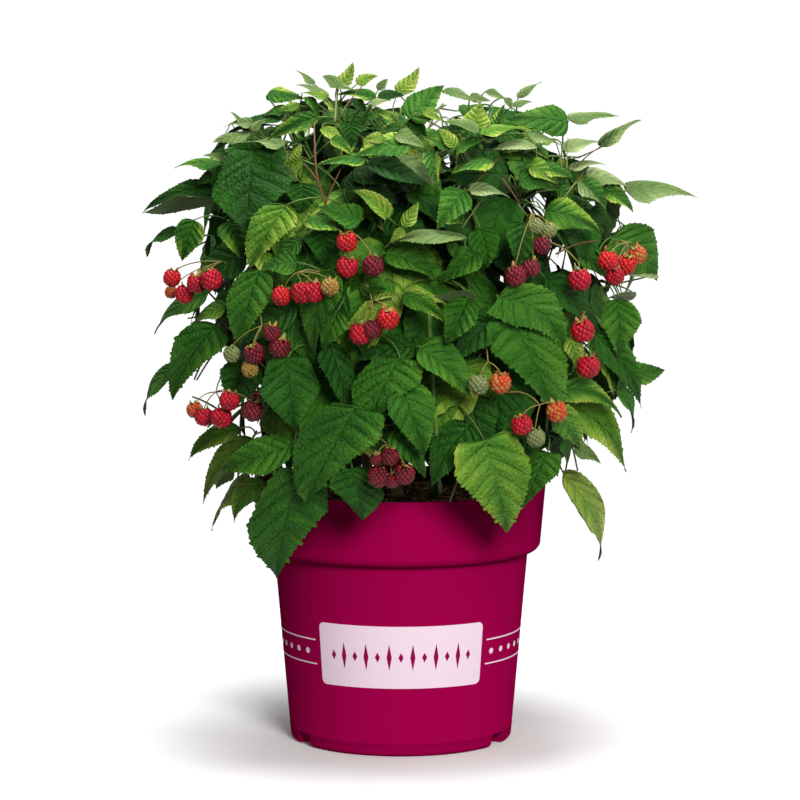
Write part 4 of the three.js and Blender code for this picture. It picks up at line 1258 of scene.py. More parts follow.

# %% [markdown]
# ## Leaves in plain sight
# The leaves that face the front are what the eye rests on, so each of them is placed one by one. An
# entry says where the leaf's foot and tip are seen in the frame, how broad it looks, how deep it
# lies (0 is the outermost layer), its tone, and how it lies. Three more numbers shape the outline:
# raised shifts the half at the frame's right towards the foot, bow bends the midrib aside, and widest
# is the share of the length where the leaf is widest. From the foot and tip comes its true length, and
# from the seen breadth how far it is turned away. The crown's surface gives the depth. A broad leaf is
# tipped a little up to the light, and a narrow bowed one is a leaf seen from its side, so it arches.

# %% Leaves read from the front
Seen = namedtuple("Seen", "foot tip breadth layer tone lie raised bow widest",
                  defaults=(0, "mid", "plain", 0, 0, 0))
# Each entry's tone follows how light or dark the leaf looks from the front, so it is partly the leaf's own
# colour and partly painted light and shade.
LEAVES_IN_SIGHT = {
    "top_left": (
        Seen((267, 95), (304, 99), 17, 0.5, "limed"), Seen((314, 84), (295, 70), 7, 0, "young"),
        Seen((327, 96), (296, 85), 7, 0, "young"), Seen((250, 135), (212, 143), 11, 0, "young"),
        Seen((252, 124), (223, 128), 9, 0, "young"), Seen((248, 132), (230, 112), 8, 0, "young"),
        Seen((252, 131), (266, 119), 9, 0, "young"), Seen((283, 118), (240, 121), 12, 1, "dark"),
        Seen((318, 117), (267, 140), 18, 0.6, "limed", bow=-0.02),
        Seen((306, 97), (319, 119), 11, 0.8, "mid"), Seen((355, 100), (367, 114), 11, 1, "dark"),
        Seen((322, 128), (344, 146), 13, 0.4, "bright"), Seen((332, 138), (354, 156), 14, 0.3, "limed"),
        Seen((286, 108), (262, 116), 10, 1, "mid"), Seen((300, 106), (278, 112), 9, 0.6, "fresh"),
        Seen((284, 146), (232, 144), 7, 0, "young"), Seen((303, 160), (283, 164), 18, 0, "bright"),
        Seen((302, 183), (302, 213), 36, 2, "dark"), Seen((324, 230), (325, 268), 42, 1, "dark"),
        Seen((367, 159), (317, 165), 12, 0, "limed"), Seen((350, 121), (351, 148), 24, 2, "dark"),
        Seen((362, 220), (318, 207), 26), Seen((306, 221), (346, 232), 17, 0, "limed"),
        Seen((389, 218), (350, 190), 17, 0, "bright"), Seen((300, 240), (276, 262), 18, 1, "mid"),
    ),
    "top": (
        Seen((339, 87), (353, 62), 15, 0, "bright", bow=0.12), Seen((340, 86), (322, 76), 12, 0, "young"),
        Seen((337, 86), (357, 91), 7, 0, "young"), Seen((357, 84), (378, 76), 11, 0, "bright"),
        Seen((378, 90), (388, 79), 9, 0, "young"), Seen((328, 97), (300, 93), 8, 0, "bright"),
        Seen((375, 99), (338, 95), 9, 1, "limed"), Seen((378, 97), (405, 96), 11, 1, "dark"),
        Seen((370, 104), (392, 101), 7, 0, "downy"), Seen((397, 92), (419, 67), 18, 0, "bright", bow=0.12),
        Seen((408, 118), (444, 85), 33), Seen((424, 111), (443, 121), 10, 0, "bright"),
        Seen((444, 90), (480, 104), 11, 0, "young"), Seen((470, 96), (491, 101), 10, 0, "young"),
        Seen((486, 91), (507, 100), 8, 0, "young"), Seen((506, 98), (512, 110), 8, 0.2, "young"),
        Seen((497, 126), (505, 104), 13, 0.5, "limed"), Seen((479, 133), (443, 122), 10, 0, "young"),
        Seen((480, 135), (526, 131), 8, 0, "fresh"), Seen((484, 132), (494, 108), 8, 0.2, "young"),
        Seen((396, 134), (425, 148), 16, 0, "young"), Seen((400, 142), (418, 158), 13, 0.4, "bright"),
        Seen((398, 120), (372, 110), 10, 1, "fresh"), Seen((352, 172), (402, 186), 22, 1.4, "deep"),
        Seen((342, 180), (398, 204), 26, 1.6, "deep"), Seen((477, 129), (480, 103), 28, 0, "bright"),
        Seen((452, 121), (472, 132), 13, 2, "dark"), Seen((408, 121), (427, 137), 16, 2, "dark"),
        Seen((455, 148), (438, 129), 13, 0, "bright"), Seen((450, 149), (424, 138), 12, 0, "limed"),
        Seen((455, 149), (482, 142), 11), Seen((483, 140), (501, 136), 10, 0, "young"),
        Seen((410, 143), (355, 156), 24, 0, "limed"), Seen((384, 138), (362, 141), 12, 0, "bright"),
        Seen((366, 162), (430, 186), 20, 0.5, "deep"), Seen((430, 152), (437, 187), 17, 0, "limed"),
        Seen((403, 227), (419, 202), 15, 0, "bright"), Seen((404, 229), (390, 243), 11, 0, "bright"),
        Seen((466, 237), (392, 243), 12, 0, "young"), Seen((464, 190), (437, 230), 34),
        Seen((492, 160), (451, 173), 15, 0, "limed"), Seen((469, 190), (510, 198), 13, 0, "downy"),
        Seen((480, 228), (488, 268), 32, 1, "mid"), Seen((444, 221), (463, 224), 8, 0, "bright"),
    ),
    "left": (
        Seen((254, 150), (247, 232), 77, 0, "dark", "lobed", raised=0.1, widest=0.52),
        Seen((221, 165), (174, 168), 9, 0, "limed"), Seen((222, 160), (203, 156), 7, 0, "young"),
        Seen((216, 189), (144, 212), 19, 0, "dark", bow=-0.07),
        Seen((215, 199), (142, 213), 14, 0, "young", "back"),
        Seen((178, 231), (147, 257), 7, bow=-0.18, widest=0.45),
        Seen((194, 220), (182, 261), 30, 0, "limed"), Seen((228, 222), (243, 260), 30, 1, "limed"),
        Seen((286, 205), (250, 269), 40, 0, "fresh", raised=0.12),
        Seen((212, 175), (196, 186), 12, 1, "mid"),
        Seen((259, 270), (239, 346), 43, raised=0.08, widest=0.38),
        Seen((298, 306), (240, 346), 34, 1, "dark"), Seen((246, 252), (196, 280), 36, 1.2, "dark"),
        Seen((232, 290), (222, 346), 24, 1.8, "dark"), Seen((297, 262), (263, 268), 25),
        Seen((262, 251), (269, 293), 21, 1, "fresh"), Seen((208, 293), (154, 334), 20),
        Seen((217, 325), (173, 400), 43, raised=0.1, bow=-0.05, widest=0.3),
        Seen((174, 367), (145, 416), 12, bow=-0.12, widest=0.5),
        Seen((226, 306), (189, 328), 16, 0.4, "fresh"), Seen((248, 362), (234, 408), 42, 1, "dark"),
    ),
    "right": (
        Seen((518, 98), (542, 82), 9, 0, "young"), Seen((513, 106), (532, 102), 7, 0, "young"),
        Seen((568, 124), (506, 119), 31, bow=-0.02), Seen((569, 120), (619, 116), 12, 0, "young"),
        Seen((602, 147), (641, 120), 12, 0, "young"), Seen((626, 191), (698, 198), 19, 0, "young"),
        Seen((562, 150), (599, 142), 13, 0, "downy"), Seen((536, 146), (493, 150), 12, 0, "downy"),
        Seen((570, 170), (606, 165), 7, 0, "downy"), Seen((586, 176), (630, 188), 18, 0, "downy"),
        Seen((544, 166), (573, 178), 15, 0, "limed"), Seen((530, 164), (558, 184), 20, 0, "fresh"),
        Seen((528, 134), (562, 146), 9, 0.2, "young"), Seen((580, 184), (607, 207), 24),
        Seen((604, 188), (633, 212), 18, 0, "limed"), Seen((578, 182), (606, 210), 14, 0, "young"),
        Seen((545, 211), (600, 232), 32, 0, "limed", bow=0.06), Seen((558, 190), (581, 205), 17, 1, "mid"),
        Seen((592, 208), (614, 229), 19, 1, "dark"),
        Seen((612, 237), (657, 281), 56, bow=0.09, widest=0.42), Seen((519, 178), (558, 192), 19),
        Seen((522, 222), (517, 268), 34, 0, "dark"), Seen((656, 274), (620, 272), 16, 0, "downy"),
        Seen((578, 252), (612, 286), 22, 1, "mid"), Seen((616, 299), (617, 356), 40, bow=0.04, widest=0.4),
        Seen((595, 335), (641, 408), 29, bow=0.05), Seen((628, 376), (665, 370), 25, raised=-0.12),
        Seen((636, 296), (606, 298), 11, 0, "downy", "back"),
    ),
    "middle": (
        Seen((332, 268), (314, 358), 43, 0.3, "mid"), Seen((330, 342), (349, 414), 34, 1, "dark"),
        Seen((338, 310), (321, 352), 27, 0.1, "mid"),
        Seen((288, 357), (294, 430), 60, 0, "dark", "full", bow=-0.02, widest=0.48),
        Seen((400, 358), (370, 429), 60, 0, "mid", "full", raised=0.19, bow=-0.04),
        Seen((416, 346), (356, 361), 28, 1, "dark"),
        Seen((394, 303), (345, 330), 29, 0, "bright", bow=0.01, widest=0.48),
        Seen((360, 275), (350, 293), 15, 1, "mid"), Seen((369, 287), (387, 289), 12),
        Seen((374, 300), (402, 296), 11, 0, "bright", "rolled"),
        Seen((403, 295), (444, 322), 21, 0, "limed", bow=0.07), Seen((385, 253), (437, 282), 31, 1, "mid"),
        Seen((468, 298), (446, 344), 35, widest=0.42), Seen((474, 297), (433, 297), 15, 0, "mid", "back"),
        Seen((478, 252), (440, 283), 30, 1, "mid"),
        Seen((498, 298), (566, 354), 49, 0, "mid", "full", bow=0.15, raised=-0.06),
        Seen((511, 318), (557, 417), 64, 0.5, "mid", "full", raised=-0.18, widest=0.38),
        Seen((492, 322), (452, 364), 36, 1, "dark"), Seen((419, 347), (471, 397), 37),
        Seen((545, 278), (599, 331), 31, 1, "dark", bow=0.03),
        Seen((560, 392), (621, 418), 25, 0, "limed", bow=0.14),
        Seen((568, 338), (578, 372), 19, 0, "bright"), Seen((505, 382), (497, 433), 46, 2, "dark"),
        Seen((402, 387), (424, 456), 46),
    ),
    "low": (
        Seen((355, 408), (307, 502), 74, 0, "mid", "full", raised=0.22, widest=0.38),
        Seen((293, 444), (219, 469), 39, 0.3, "mid", bow=0.05, widest=0.4),
        Seen((240, 428), (188, 461), 21, 1, "fresh", bow=-0.06),
        Seen((252, 438), (203, 504), 25, 1, "bright", bow=-0.09),
        Seen((234, 468), (216, 489), 15, 1, "young"),
        Seen((250, 477), (212, 531), 13, 1, "bright", bow=-0.1, widest=0.42),
        Seen((266, 482), (234, 523), 25, 1, "fresh", bow=-0.12),
        Seen((299, 470), (276, 578), 73, 0, "mid", "full", raised=0.145, widest=0.45),
        Seen((352, 468), (362, 520), 52, 0.6, "dark", "full", raised=-0.18, widest=0.45),
        Seen((395, 425), (425, 478), 32, 1, "mid"),
        Seen((484, 440), (507, 533), 75, 0, "fresh", "heart", raised=-0.045),
        Seen((470, 424), (431, 487), 47, 1.3, "dark"),
        Seen((548, 452), (523, 508), 38, 0.5, "mid", "full", raised=0.15),
        Seen((553, 403), (626, 472), 40, 0, "fresh", bow=0.14, raised=0.06, widest=0.42),
        Seen((558, 408), (580, 448), 29, 0.3, "fresh"),
        Seen((563, 473), (598, 561), 22, 0, "bright", "dry", bow=0.12, widest=0.55),
        Seen((574, 447), (601, 464), 15, 0, "young"), Seen((565, 440), (566, 467), 11, 0, "dark"),
        Seen((616, 390), (631, 433), 9, bow=0.12),
    ),
}
LAYER_DEPTH, POT_SPARE, HEART_BREADTH, NARROW, TILT = 0.075, 0.014, 0.9, 0.205, 0.4
MOST_LEAN, MOST_BREADTH, MOST_DROOP, DROOP_PER_BOW = 0.22, 1.25, 1.4, 8
LIES = {
    "plain": {}, "heart": {"heart": 0.15, "droop": 0.45, "fold": 0.04, "twist": 0.0, "cup": 0.15},
    "lobed": {"heart": 0.2, "widest": 0.48, "droop": 0.4, "fold": 0.02, "twist": 0.0, "cup": 0.3},
    "full": {"heart": 0.12, "widest": 0.42, "droop": 0.4, "fold": 0.04, "twist": 0.0, "cup": 0.2},
    "rolled": {"roll": 2.2, "fold": 0.25}, "back": {"droop": 0.25, "roll": 0.0},
    "dry": {"droop": 0.35, "fold": 0.05, "twist": 0.0, "roll": 0.3, "dry": 0.13},
}


def on_crown_at(px, py, share):
    """The point of the crown's front that is seen at a pixel, kept clear of the pot."""
    point = seen_at(px, py, -0.15)
    for _ in range(3):
        reach = crown_radius(point.z) * share
        if point.z < RIM_HEIGHT + 0.03:
            reach = max(reach, RIM + POT_SPARE)
        point = seen_at(px, py, -math.sqrt(max(reach**2 - point.x**2, 0)))
    return point


def leaf_in_sight(seen, dice):
    """A leaf's facts, so that it is seen where its entry says."""
    share = 1.0 - LAYER_DEPTH * seen.layer
    foot, tip = on_crown_at(*seen.foot, share), on_crown_at(*seen.tip, share)
    middle_depth, span = (foot.y + tip.y) / 2, (tip - foot)
    flat = math.hypot(span.x, span.z)
    lean = max(-MOST_LEAN * flat, min(MOST_LEAN * flat, span.y / 2))
    foot, tip = seen_at(*seen.foot, middle_depth - lean), seen_at(*seen.tip, middle_depth + lean)
    chord, settings, bow = (tip - foot), dict(LIES[seen.lie]), seen.bow
    along, sight = chord.normalized(), (EYE - foot).normalized()
    looking = (sight - along * along.dot(sight)).normalized()
    level = along.cross(looking)
    if level.dot(UP) < 0:
        level = -level
    shown = seen.breadth * (foot - EYE).length / FOCAL / chord.length
    broad = HEART_BREADTH if "heart" in settings else between(0.7, 0.8, dice())
    if shown > NARROW and (seen.raised or bow):
        broad = shown / math.cos(TILT)
    broad = min(max(broad, shown), MOST_BREADTH)
    away = math.acos(max(0.2, shown / broad)) if shown < broad else 0.0
    if bow and shown <= NARROW:
        settings["droop"], bow = min(MOST_DROOP, DROOP_PER_BOW * abs(bow) / math.sin(away)), 0.0
    droop = settings.setdefault("droop", between(0.3, 0.7, dice()))
    length = chord.length * droop / (2 * math.sin(droop / 2))
    if seen.widest:
        settings["widest"] = seen.widest
    face = looking * math.cos(away) * (-1 if seen.lie == "back" else 1) + level * math.sin(away)
    way, face = (along * math.cos(droop / 2) + face * math.sin(droop / 2),
                 face * math.cos(droop / 2) - along * math.sin(droop / 2))
    leaf = leaf_of(foot, way, face, length, seen.tone, dice, **settings)
    across, seen_along = way.cross(face), (along - sight * along.dot(sight)).normalized()
    right = math.copysign(1, across.x)
    leaf["broad"] = broad
    leaf["raised"] = seen.raised * right + across.dot(seen_along) * broad / 2
    if bow or seen.raised:
        leaf["sweep"] = bow * right
    return leaf


def petiole(heap, end, way, finish, thick=0.75 * MM):
    """A leaf stalk that arches from the nearest twig to a leaf's foot."""
    start = nearest_anchor(end)
    span = (end - start).length
    corner = start.lerp(end, 0.6) - way * 0.25 * span + UP * 0.08 * span
    heap.add_tube(arched(start, corner, end, 6), thick * 1.2, thick * 0.8, 5, finish)


def tier_at(point):
    """The name of the tier whose masses lie nearest to a point."""
    return min(masses, key=lambda mass: (on_crown(mass["way"]) - point).length)["name"]


leaves = {tier["name"]: [] for tier in TIERS}
for region in LEAVES_IN_SIGHT.values():
    for seen in region:
        leaf = leaf_in_sight(seen, dice_for(4000 + seen.foot[0] * 7 + seen.tip[1]))
        name = tier_at(leaf["root"])
        leaf["blade"] = broad_blade if leaf["length"] > 0.05 else fine_blade
        leaves[name].append(leaf)
        standing.add(kite_of(leaf))
        petiole(stalks[name], leaf["root"], leaf["way"], STALK["green"])
print(sum(len(found) for found in leaves.values()), "leaves are placed by hand")

# %% [markdown]
# Between the leaves a few bare shoots show, brown where the sun has reached them, and low down in the
# middle one of the green canes. They run through places read from the front, like the leaves.

# %% Shoots in plain sight
Shoot = namedtuple("Shoot", "places thick finish layer", defaults=(1.0, "brown", 0.4))
SHOOTS_IN_SIGHT = (
    Shoot(((326, 206), (317, 176), (315, 150), (314, 122)), 1.5),
    Shoot(((317, 180), (308, 168), (298, 160)), 1.2), Shoot(((325, 204), (332, 188), (341, 168)), 1.2),
    Shoot(((335, 122), (336, 104), (337, 88)), 1.4, "olive"),
    Shoot(((339, 118), (349, 102), (363, 85)), 0.9),
    Shoot(((334, 112), (327, 99), (312, 84)), 0.7, "olive"),
    Shoot(((396, 120), (393, 108), (396, 97)), 0.9),
    Shoot(((562, 168), (559, 152), (555, 140)), 0.9, "olive"),
    Shoot(((567, 170), (567, 154), (568, 138)), 0.8, "olive"),
    Shoot(((574, 170), (585, 158), (601, 146)), 0.8),
    Shoot(((556, 210), (570, 190), (584, 172)), 1.3, "olive"),
    Shoot(((478, 180), (488, 170), (499, 158)), 1.0),
    Shoot(((462, 228), (474, 211), (484, 197)), 0.8, "olive"),
    Shoot(((502, 178), (512, 192), (520, 204)), 1.2),
    Shoot(((518, 204), (526, 214), (534, 222)), 0.9, "olive"),
    Shoot(((556, 254), (574, 245), (600, 240)), 1.1),
    Shoot(((428, 300), (431, 350), (434, 400), (438, 450)), 3.4, "green", 2.2),
)
for shoot in SHOOTS_IN_SIGHT:
    places = [on_crown_at(*place, 1.0 - LAYER_DEPTH * shoot.layer) for place in shoot.places]
    heap = stalks[tier_at(places[1])]
    root, tip = shoot.thick * 0.8 * MM, shoot.thick * 0.5 * MM
    heap.add_tube(splined(places, 6), root, tip, 8, STALK[shoot.finish], sides=6)

# %% [markdown]
# ## Raspberries
# A raspberry is several dozen small round drupelets on a cone, set in a spiral like the seeds of a
# sunflower, each pressed against its neighbours. A cap of five pointed sepals, bent back, sits on it,
# and a thin stalk carries it. A drupelet is a low dome. Fruits ripen one by one, so a truss holds
# green, yellow, orange, red and dark red ones together.

# %% Fruit shape
FRUIT_RADIUS, FRUIT_HEIGHT, DRUPELETS, DRUPELET = 8.9 * MM, 16.5 * MM, 54, 2.45 * MM
WIDEST, TOP_ROUND, BLUNTNESS = 0.46, 0.78, 2.15
RIPENESS = {
    "ripe": ((158, 10, 31), (134, 6, 25)), "dark": ((96, 10, 24), (72, 6, 20)),
    "scarlet": ((168, 20, 22), (148, 14, 20)),
    "orange": ((164, 60, 28), (154, 96, 44)), "yellow": ((134, 109, 46), (128, 88, 41)),
    "green": ((96, 107, 62), (110, 115, 69)),
}
RIPENESS_NAMES = list(RIPENESS)
fruit_finishes = []
for name, tones in RIPENESS.items():
    for number, tone in enumerate(tones):
        finish = plain_finish(f"fruit_{name}_{number + 1}", linear(*tone), 0.4, 0.22)
        vary_gloss(finish, 200, 0.3, 0.5 if name != "green" else 0.7)
        fruit_finishes.append(finish)
    # The heart, the core seen between the drupelets, is the darker tone at 0.55: painted shade in the gaps.
    heart = plain_finish(f"fruit_{name}_heart", linear(*[value * 0.55 for value in tones[1]]), 0.6, 0.3)
    vary_gloss(heart, 200, 0.5, 0.7)
    fruit_finishes.append(heart)
cap_tones = {"gold": (160, 124, 64), "green": (120, 136, 66)}
cap_finishes = [plain_finish(f"cap_{name}", linear(*tone), 0.7, 0.3) for name, tone in cap_tones.items()]
for finish in cap_finishes:
    vary_gloss(finish, 150, 0.6, 0.8)


def dome():
    """A drupelet: the upper part of a ball, open below, where it sinks into the fruit."""
    shape = bmesh.new()
    bmesh.ops.create_uvsphere(shape, u_segments=8, v_segments=6, radius=1)
    low = [v for v in shape.verts if v.co.z < -0.3]
    bmesh.ops.delete(shape, geom=low, context="VERTS")
    return Template(shape)


def sepal():
    """A pointed sepal of the cap: a narrow grid that leaves the middle level and bends back up."""
    shape = bmesh.new()
    bmesh.ops.create_grid(shape, x_segments=2, y_segments=5, size=0.5)
    for point in shape.verts:
        share = point.co.y + 0.5
        half = 0.22 * (1 - share) ** 0.8 * (0.7 + 1.2 * share) + 0.012
        across = point.co.x * 2 * half
        reach, rise = math.sin(1.9 * share) / 1.9, (1 - math.cos(1.9 * share)) / 1.9
        point.co = (across, reach + 0.1, rise + 0.5 * across**2)
    return Template(shape)


def fruit_body_radius(share):
    """How wide the fruit's body is, from its cap at 0 to its blunt tip at 1."""
    to_end = (share - WIDEST) / (1 - WIDEST) if share > WIDEST else TOP_ROUND * (WIDEST - share) / WIDEST
    return FRUIT_RADIUS * (1 - abs(to_end) ** BLUNTNESS) ** (1 / BLUNTNESS)


drupelet, sepal_shape = dome(), sepal()
core = bmesh.new()
bmesh.ops.create_uvsphere(core, u_segments=10, v_segments=8, radius=1)
core = Template(core)
seats, outwards = [], []
steps_down = np.linspace(0, 1, 60)
skin = np.cumsum([fruit_body_radius(step) for step in steps_down])
shares = np.interp((np.arange(DRUPELETS) + 0.5) / DRUPELETS, skin / skin[-1], steps_down)
for i, share in enumerate(shares):
    turn = math.radians(GOLDEN * i)
    radius = max(0, fruit_body_radius(share) - 0.75 * DRUPELET)
    above, below = fruit_body_radius(max(0, share - 0.05)), fruit_body_radius(min(1, share + 0.05))
    slope = (below - above) / (0.1 * FRUIT_HEIGHT)
    seats.append((math.cos(turn) * radius, math.sin(turn) * radius, -share * (FRUIT_HEIGHT - DRUPELET)))
    facing = Vector((math.cos(turn), math.sin(turn), slope)).normalized()
    outwards.append(facing.lerp(DOWN, max(0, share - 0.75) * 3).normalized())
seats, outwards = np.array(seats), np.array([list(v) for v in outwards])
drupelet_frames = np.array([frame_along(out, (0.1, 0.2, 1)) for out in outwards])

# %% Trusses
fruits, fruit_caps = Heap(), Heap()


def add_fruit(top, hang, size, ripeness, dice):
    """A fruit whose cap is at top and whose tip points along hang."""
    axes = frame_along(-np.array(hang), (dice() - 0.5, 1, 0.2))
    first = 3 * RIPENESS_NAMES.index(ripeness)
    centres = seats * size @ axes + np.array(top)
    frames = np.einsum("nij,jk->nik", drupelet_frames, axes)
    swell = np.array([between(0.92, 1.1, dice()) for _ in seats]) * DRUPELET * size
    sizes = np.stack([swell, swell, swell * 0.95], axis=1)
    tones = np.array([first + (dice() < 0.4) for _ in seats])
    fruits.add(turned_copies(drupelet.points, frames, sizes, centres), drupelet.faces, tones[:, None])
    # The core under the drupelets takes the heart finish: painted shade in the gaps between them.
    middle = np.array(top) + np.array((0, 0, -FRUIT_HEIGHT * 0.46 * size)) @ axes
    core_size = np.array([(FRUIT_RADIUS * 0.86, FRUIT_RADIUS * 0.86, FRUIT_HEIGHT * 0.44)]) * size
    fruits.add(turned_copies(core.points, [axes], core_size, [middle]), core.faces, first + 2)
    spin = dice()
    for i in range(5):
        angle = math.tau * (i + spin) / 5
        lean = np.array((math.cos(angle), math.sin(angle), 0)) @ axes
        rise = np.array((0, 0, 1)) @ axes
        long = between(7.5, 10.5, dice()) * MM * size
        sepal_axes = np.array([np.cross(lean, rise), lean, rise])
        sizes = [(long, long, long * between(0.1, 0.9, dice()))]
        foot = np.array(top) + rise * 0.5 * MM
        placed = turned_copies(sepal_shape.points, [sepal_axes], sizes, [foot])
        greener = 0.8 if ripeness == "green" else 0.3
        fruit_caps.add(placed, sepal_shape.faces, int(dice() < greener))


Berry = namedtuple("Berry", "place ripeness size", defaults=(1.0,))
TRUSSES = {
    "left_high": ((224, 262), (Berry((172, 279), "scarlet", 0.85), Berry((184, 295), "ripe", 0.9),
                               Berry((197, 284), "ripe", 0.95), Berry((212, 281), "ripe"),
                               Berry((171, 293), "orange", 0.6))),
    "left_middle": ((296, 273), (Berry((281, 297), "scarlet", 0.9), Berry((302, 294), "ripe"),
                                 Berry((314, 293), "ripe"), Berry((330, 288), "yellow", 0.85))),
    "centre_high": ((352, 232), (Berry((347, 243), "scarlet", 0.95), Berry((347, 268), "ripe"),
                                 Berry((373, 267), "dark"))),
    "centre": ((372, 300), (Berry((360, 335), "ripe"), Berry((373, 330), "dark", 0.9),
                            Berry((388, 320), "scarlet"))),
    "left_shade": ((262, 326), (Berry((255, 355), "dark"), Berry((279, 348), "dark"),
                                Berry((272, 334), "dark", 0.8), Berry((232, 355), "green", 0.8),
                                Berry((250, 370), "yellow", 0.8))),
    "left_low": ((216, 392), (Berry((195, 411), "orange", 0.8), Berry((204, 418), "ripe", 0.9),
                              Berry((221, 419), "ripe"), Berry((229, 402), "ripe", 0.95),
                              Berry((252, 412), "dark"))),
    "low": ((388, 444), (Berry((390, 458), "dark", 0.85), Berry((378, 478), "dark"),
                         Berry((404, 475), "dark"), Berry((392, 482), "dark", 0.7),
                         Berry((376, 460), "dark", 0.6))),
    "right_high": ((532, 214), (Berry((536, 227), "green", 0.75), Berry((549, 231), "green", 0.75),
                                Berry((541, 246), "dark", 0.9), Berry((531, 269), "dark", 0.85),
                                Berry((516, 277), "dark"))),
    "right_single": ((578, 262), (Berry((580, 281), "ripe", 1.05),)),
    "right_far": ((628, 243), (Berry((608, 262), "scarlet", 0.95), Berry((615, 277), "ripe", 0.9),
                               Berry((625, 266), "scarlet"), Berry((638, 256), "orange", 0.9))),
    "right_middle": ((585, 312), (Berry((583, 332), "ripe", 1.1),)),
    "right_below": ((570, 340), (Berry((588, 368), "ripe", 1.1),)),
    "hidden_pair": ((488, 362), (Berry((478, 386), "green", 0.95), Berry((500, 384), "orange"))),
    "right_low": ((540, 405), (Berry((522, 426), "ripe"), Berry((536, 439), "green", 0.9),
                               Berry((557, 413), "orange"))),
}
BACK_TRUSSES = {"count": 4, "turn": 145, "step": 23, "heights": (0.300, 0.385, 0.430), "fruits": 4}
BACK_RIPENESS = ("ripe", "ripe", "dark", "orange", "green")
BERRY_SHARE, BERRY_ROOM = 1.03, 7 * MM


def clear_of_leaves(point, towards):
    """Moves a fruit outwards until no leaf lies within it."""
    for _ in range(8):
        near = standing.near(point, 0.02)
        if all(tree.find_nearest(point, BERRY_ROOM)[0] is None for tree in near):
            break
        point = point + towards * 4 * MM
    return point


def add_truss(joint, middles, dice):
    """Fruits with their stalks, which meet at a joint that a longer stalk carries."""
    name = tier_at(joint)
    heap = stalks[name]
    petiole(heap, joint, DOWN, STALK["gold"], 0.75 * MM)
    for middle, ripeness, size in middles:
        hang = (DOWN + Vector((dice() - 0.5, dice() - 0.5, 0)) * 0.7).normalized()
        top = middle - hang * FRUIT_HEIGHT * 0.45 * size
        add_fruit(top, hang, size, ripeness, dice)
        span = (top - joint).length
        corner = joint.lerp(top, 0.6) + UP * (0.12 * span + 3 * MM)
        heap.add_tube(arched(top, corner, joint, 6), 0.45 * MM, 0.6 * MM, 6, STALK["gold"])
        points = [middle + Vector(way) * 0.008 * size
                  for way in ((1, 0, 0), (-1, 0, 0), (0, 1, 0), (0, -1, 0))]
        points += [top, middle + hang * 0.009]
        tree = BVHTree.FromPolygons(points, [(0, 2, 4), (2, 1, 4), (1, 3, 4), (3, 0, 4),
                                             (2, 0, 5), (1, 2, 5), (3, 1, 5), (0, 3, 5)])
        standing.add({"tree": tree, "middle": middle, "reach": 0.011})


for number, (joint, berries) in enumerate(TRUSSES.values()):
    dice, middles = dice_for(5000 + number), []
    for berry in berries:
        middle = on_crown_at(*berry.place, BERRY_SHARE)
        sight = (EYE - middle).normalized()
        middles.append((clear_of_leaves(middle, sight), berry.ripeness, berry.size))
    depth = sum(middle.y for middle, _, _ in middles) / len(middles)
    add_truss(seen_at(*joint, depth + 4 * MM), middles, dice)
for number in range(BACK_TRUSSES["count"]):
    dice = dice_for(5100 + number)
    turn = math.radians(BACK_TRUSSES["turn"] + number * BACK_TRUSSES["step"])
    height = BACK_TRUSSES["heights"][number % 3]
    way = Vector((math.sin(turn), -math.cos(turn), 0))
    reach = crown_radius(height) * BERRY_SHARE
    level = UP.cross(way)
    joint = way * reach + UP * (height + 0.016)
    middles = []
    for i in range(BACK_TRUSSES["fruits"]):
        beside = level * between(-0.022, 0.022, (i + 0.3 * dice()) / 3)
        spot = joint + beside - UP * between(0.012, 0.03, dice())
        ripeness = BACK_RIPENESS[int(5 * dice())]
        middles.append((spot, ripeness, between(0.85, 1, dice())))
    add_truss(joint, middles, dice)

# %% [markdown]
# ## Leaves by rule
# All other leaves follow the rule of the solids. A raspberry leaf is compound: a leaf stalk, a pair of
# side leaflets at its joint and one more at its end. The leaves of a mass are set out in a spiral
# round its stem's way, at depths that vary, tips hanging outwards and down. A place that turns out
# to be taken is rolled again, and after a number of tries it stays empty. In front they keep a little
# deeper than the leaves placed one by one, so that they close the crown without hiding those.

# %% Compound leaves
MOST_TRIES, JOINT_BEFORE, SIDE_SIZE = 20, 0.3, (0.72, 0.9)
RULE = {
    "top": {"leaves": 26, "size": 0.72, "hang": 0.5,
     "deal": ("young", "bright", "limed", "young", "fresh", "mid")},
    "shoulder": {"leaves": 26, "size": 0.85, "hang": 0.7,
     "deal": ("fresh", "mid", "young", "limed", "limed", "dark")},
    "upper": {"leaves": 18, "size": 1.0, "hang": 1.1,
     "deal": ("mid", "dark", "fresh", "mid", "limed", "dark")},
    "middle": {"leaves": 14, "size": 1.0, "hang": 1.3,
     "deal": ("dark", "mid", "mid", "fresh", "dark", "limed")},
    "skirt": {"leaves": 14, "size": 1.0, "hang": 1.5,
     "deal": ("mid", "dark", "fresh", "dark", "mid", "limed")},
}


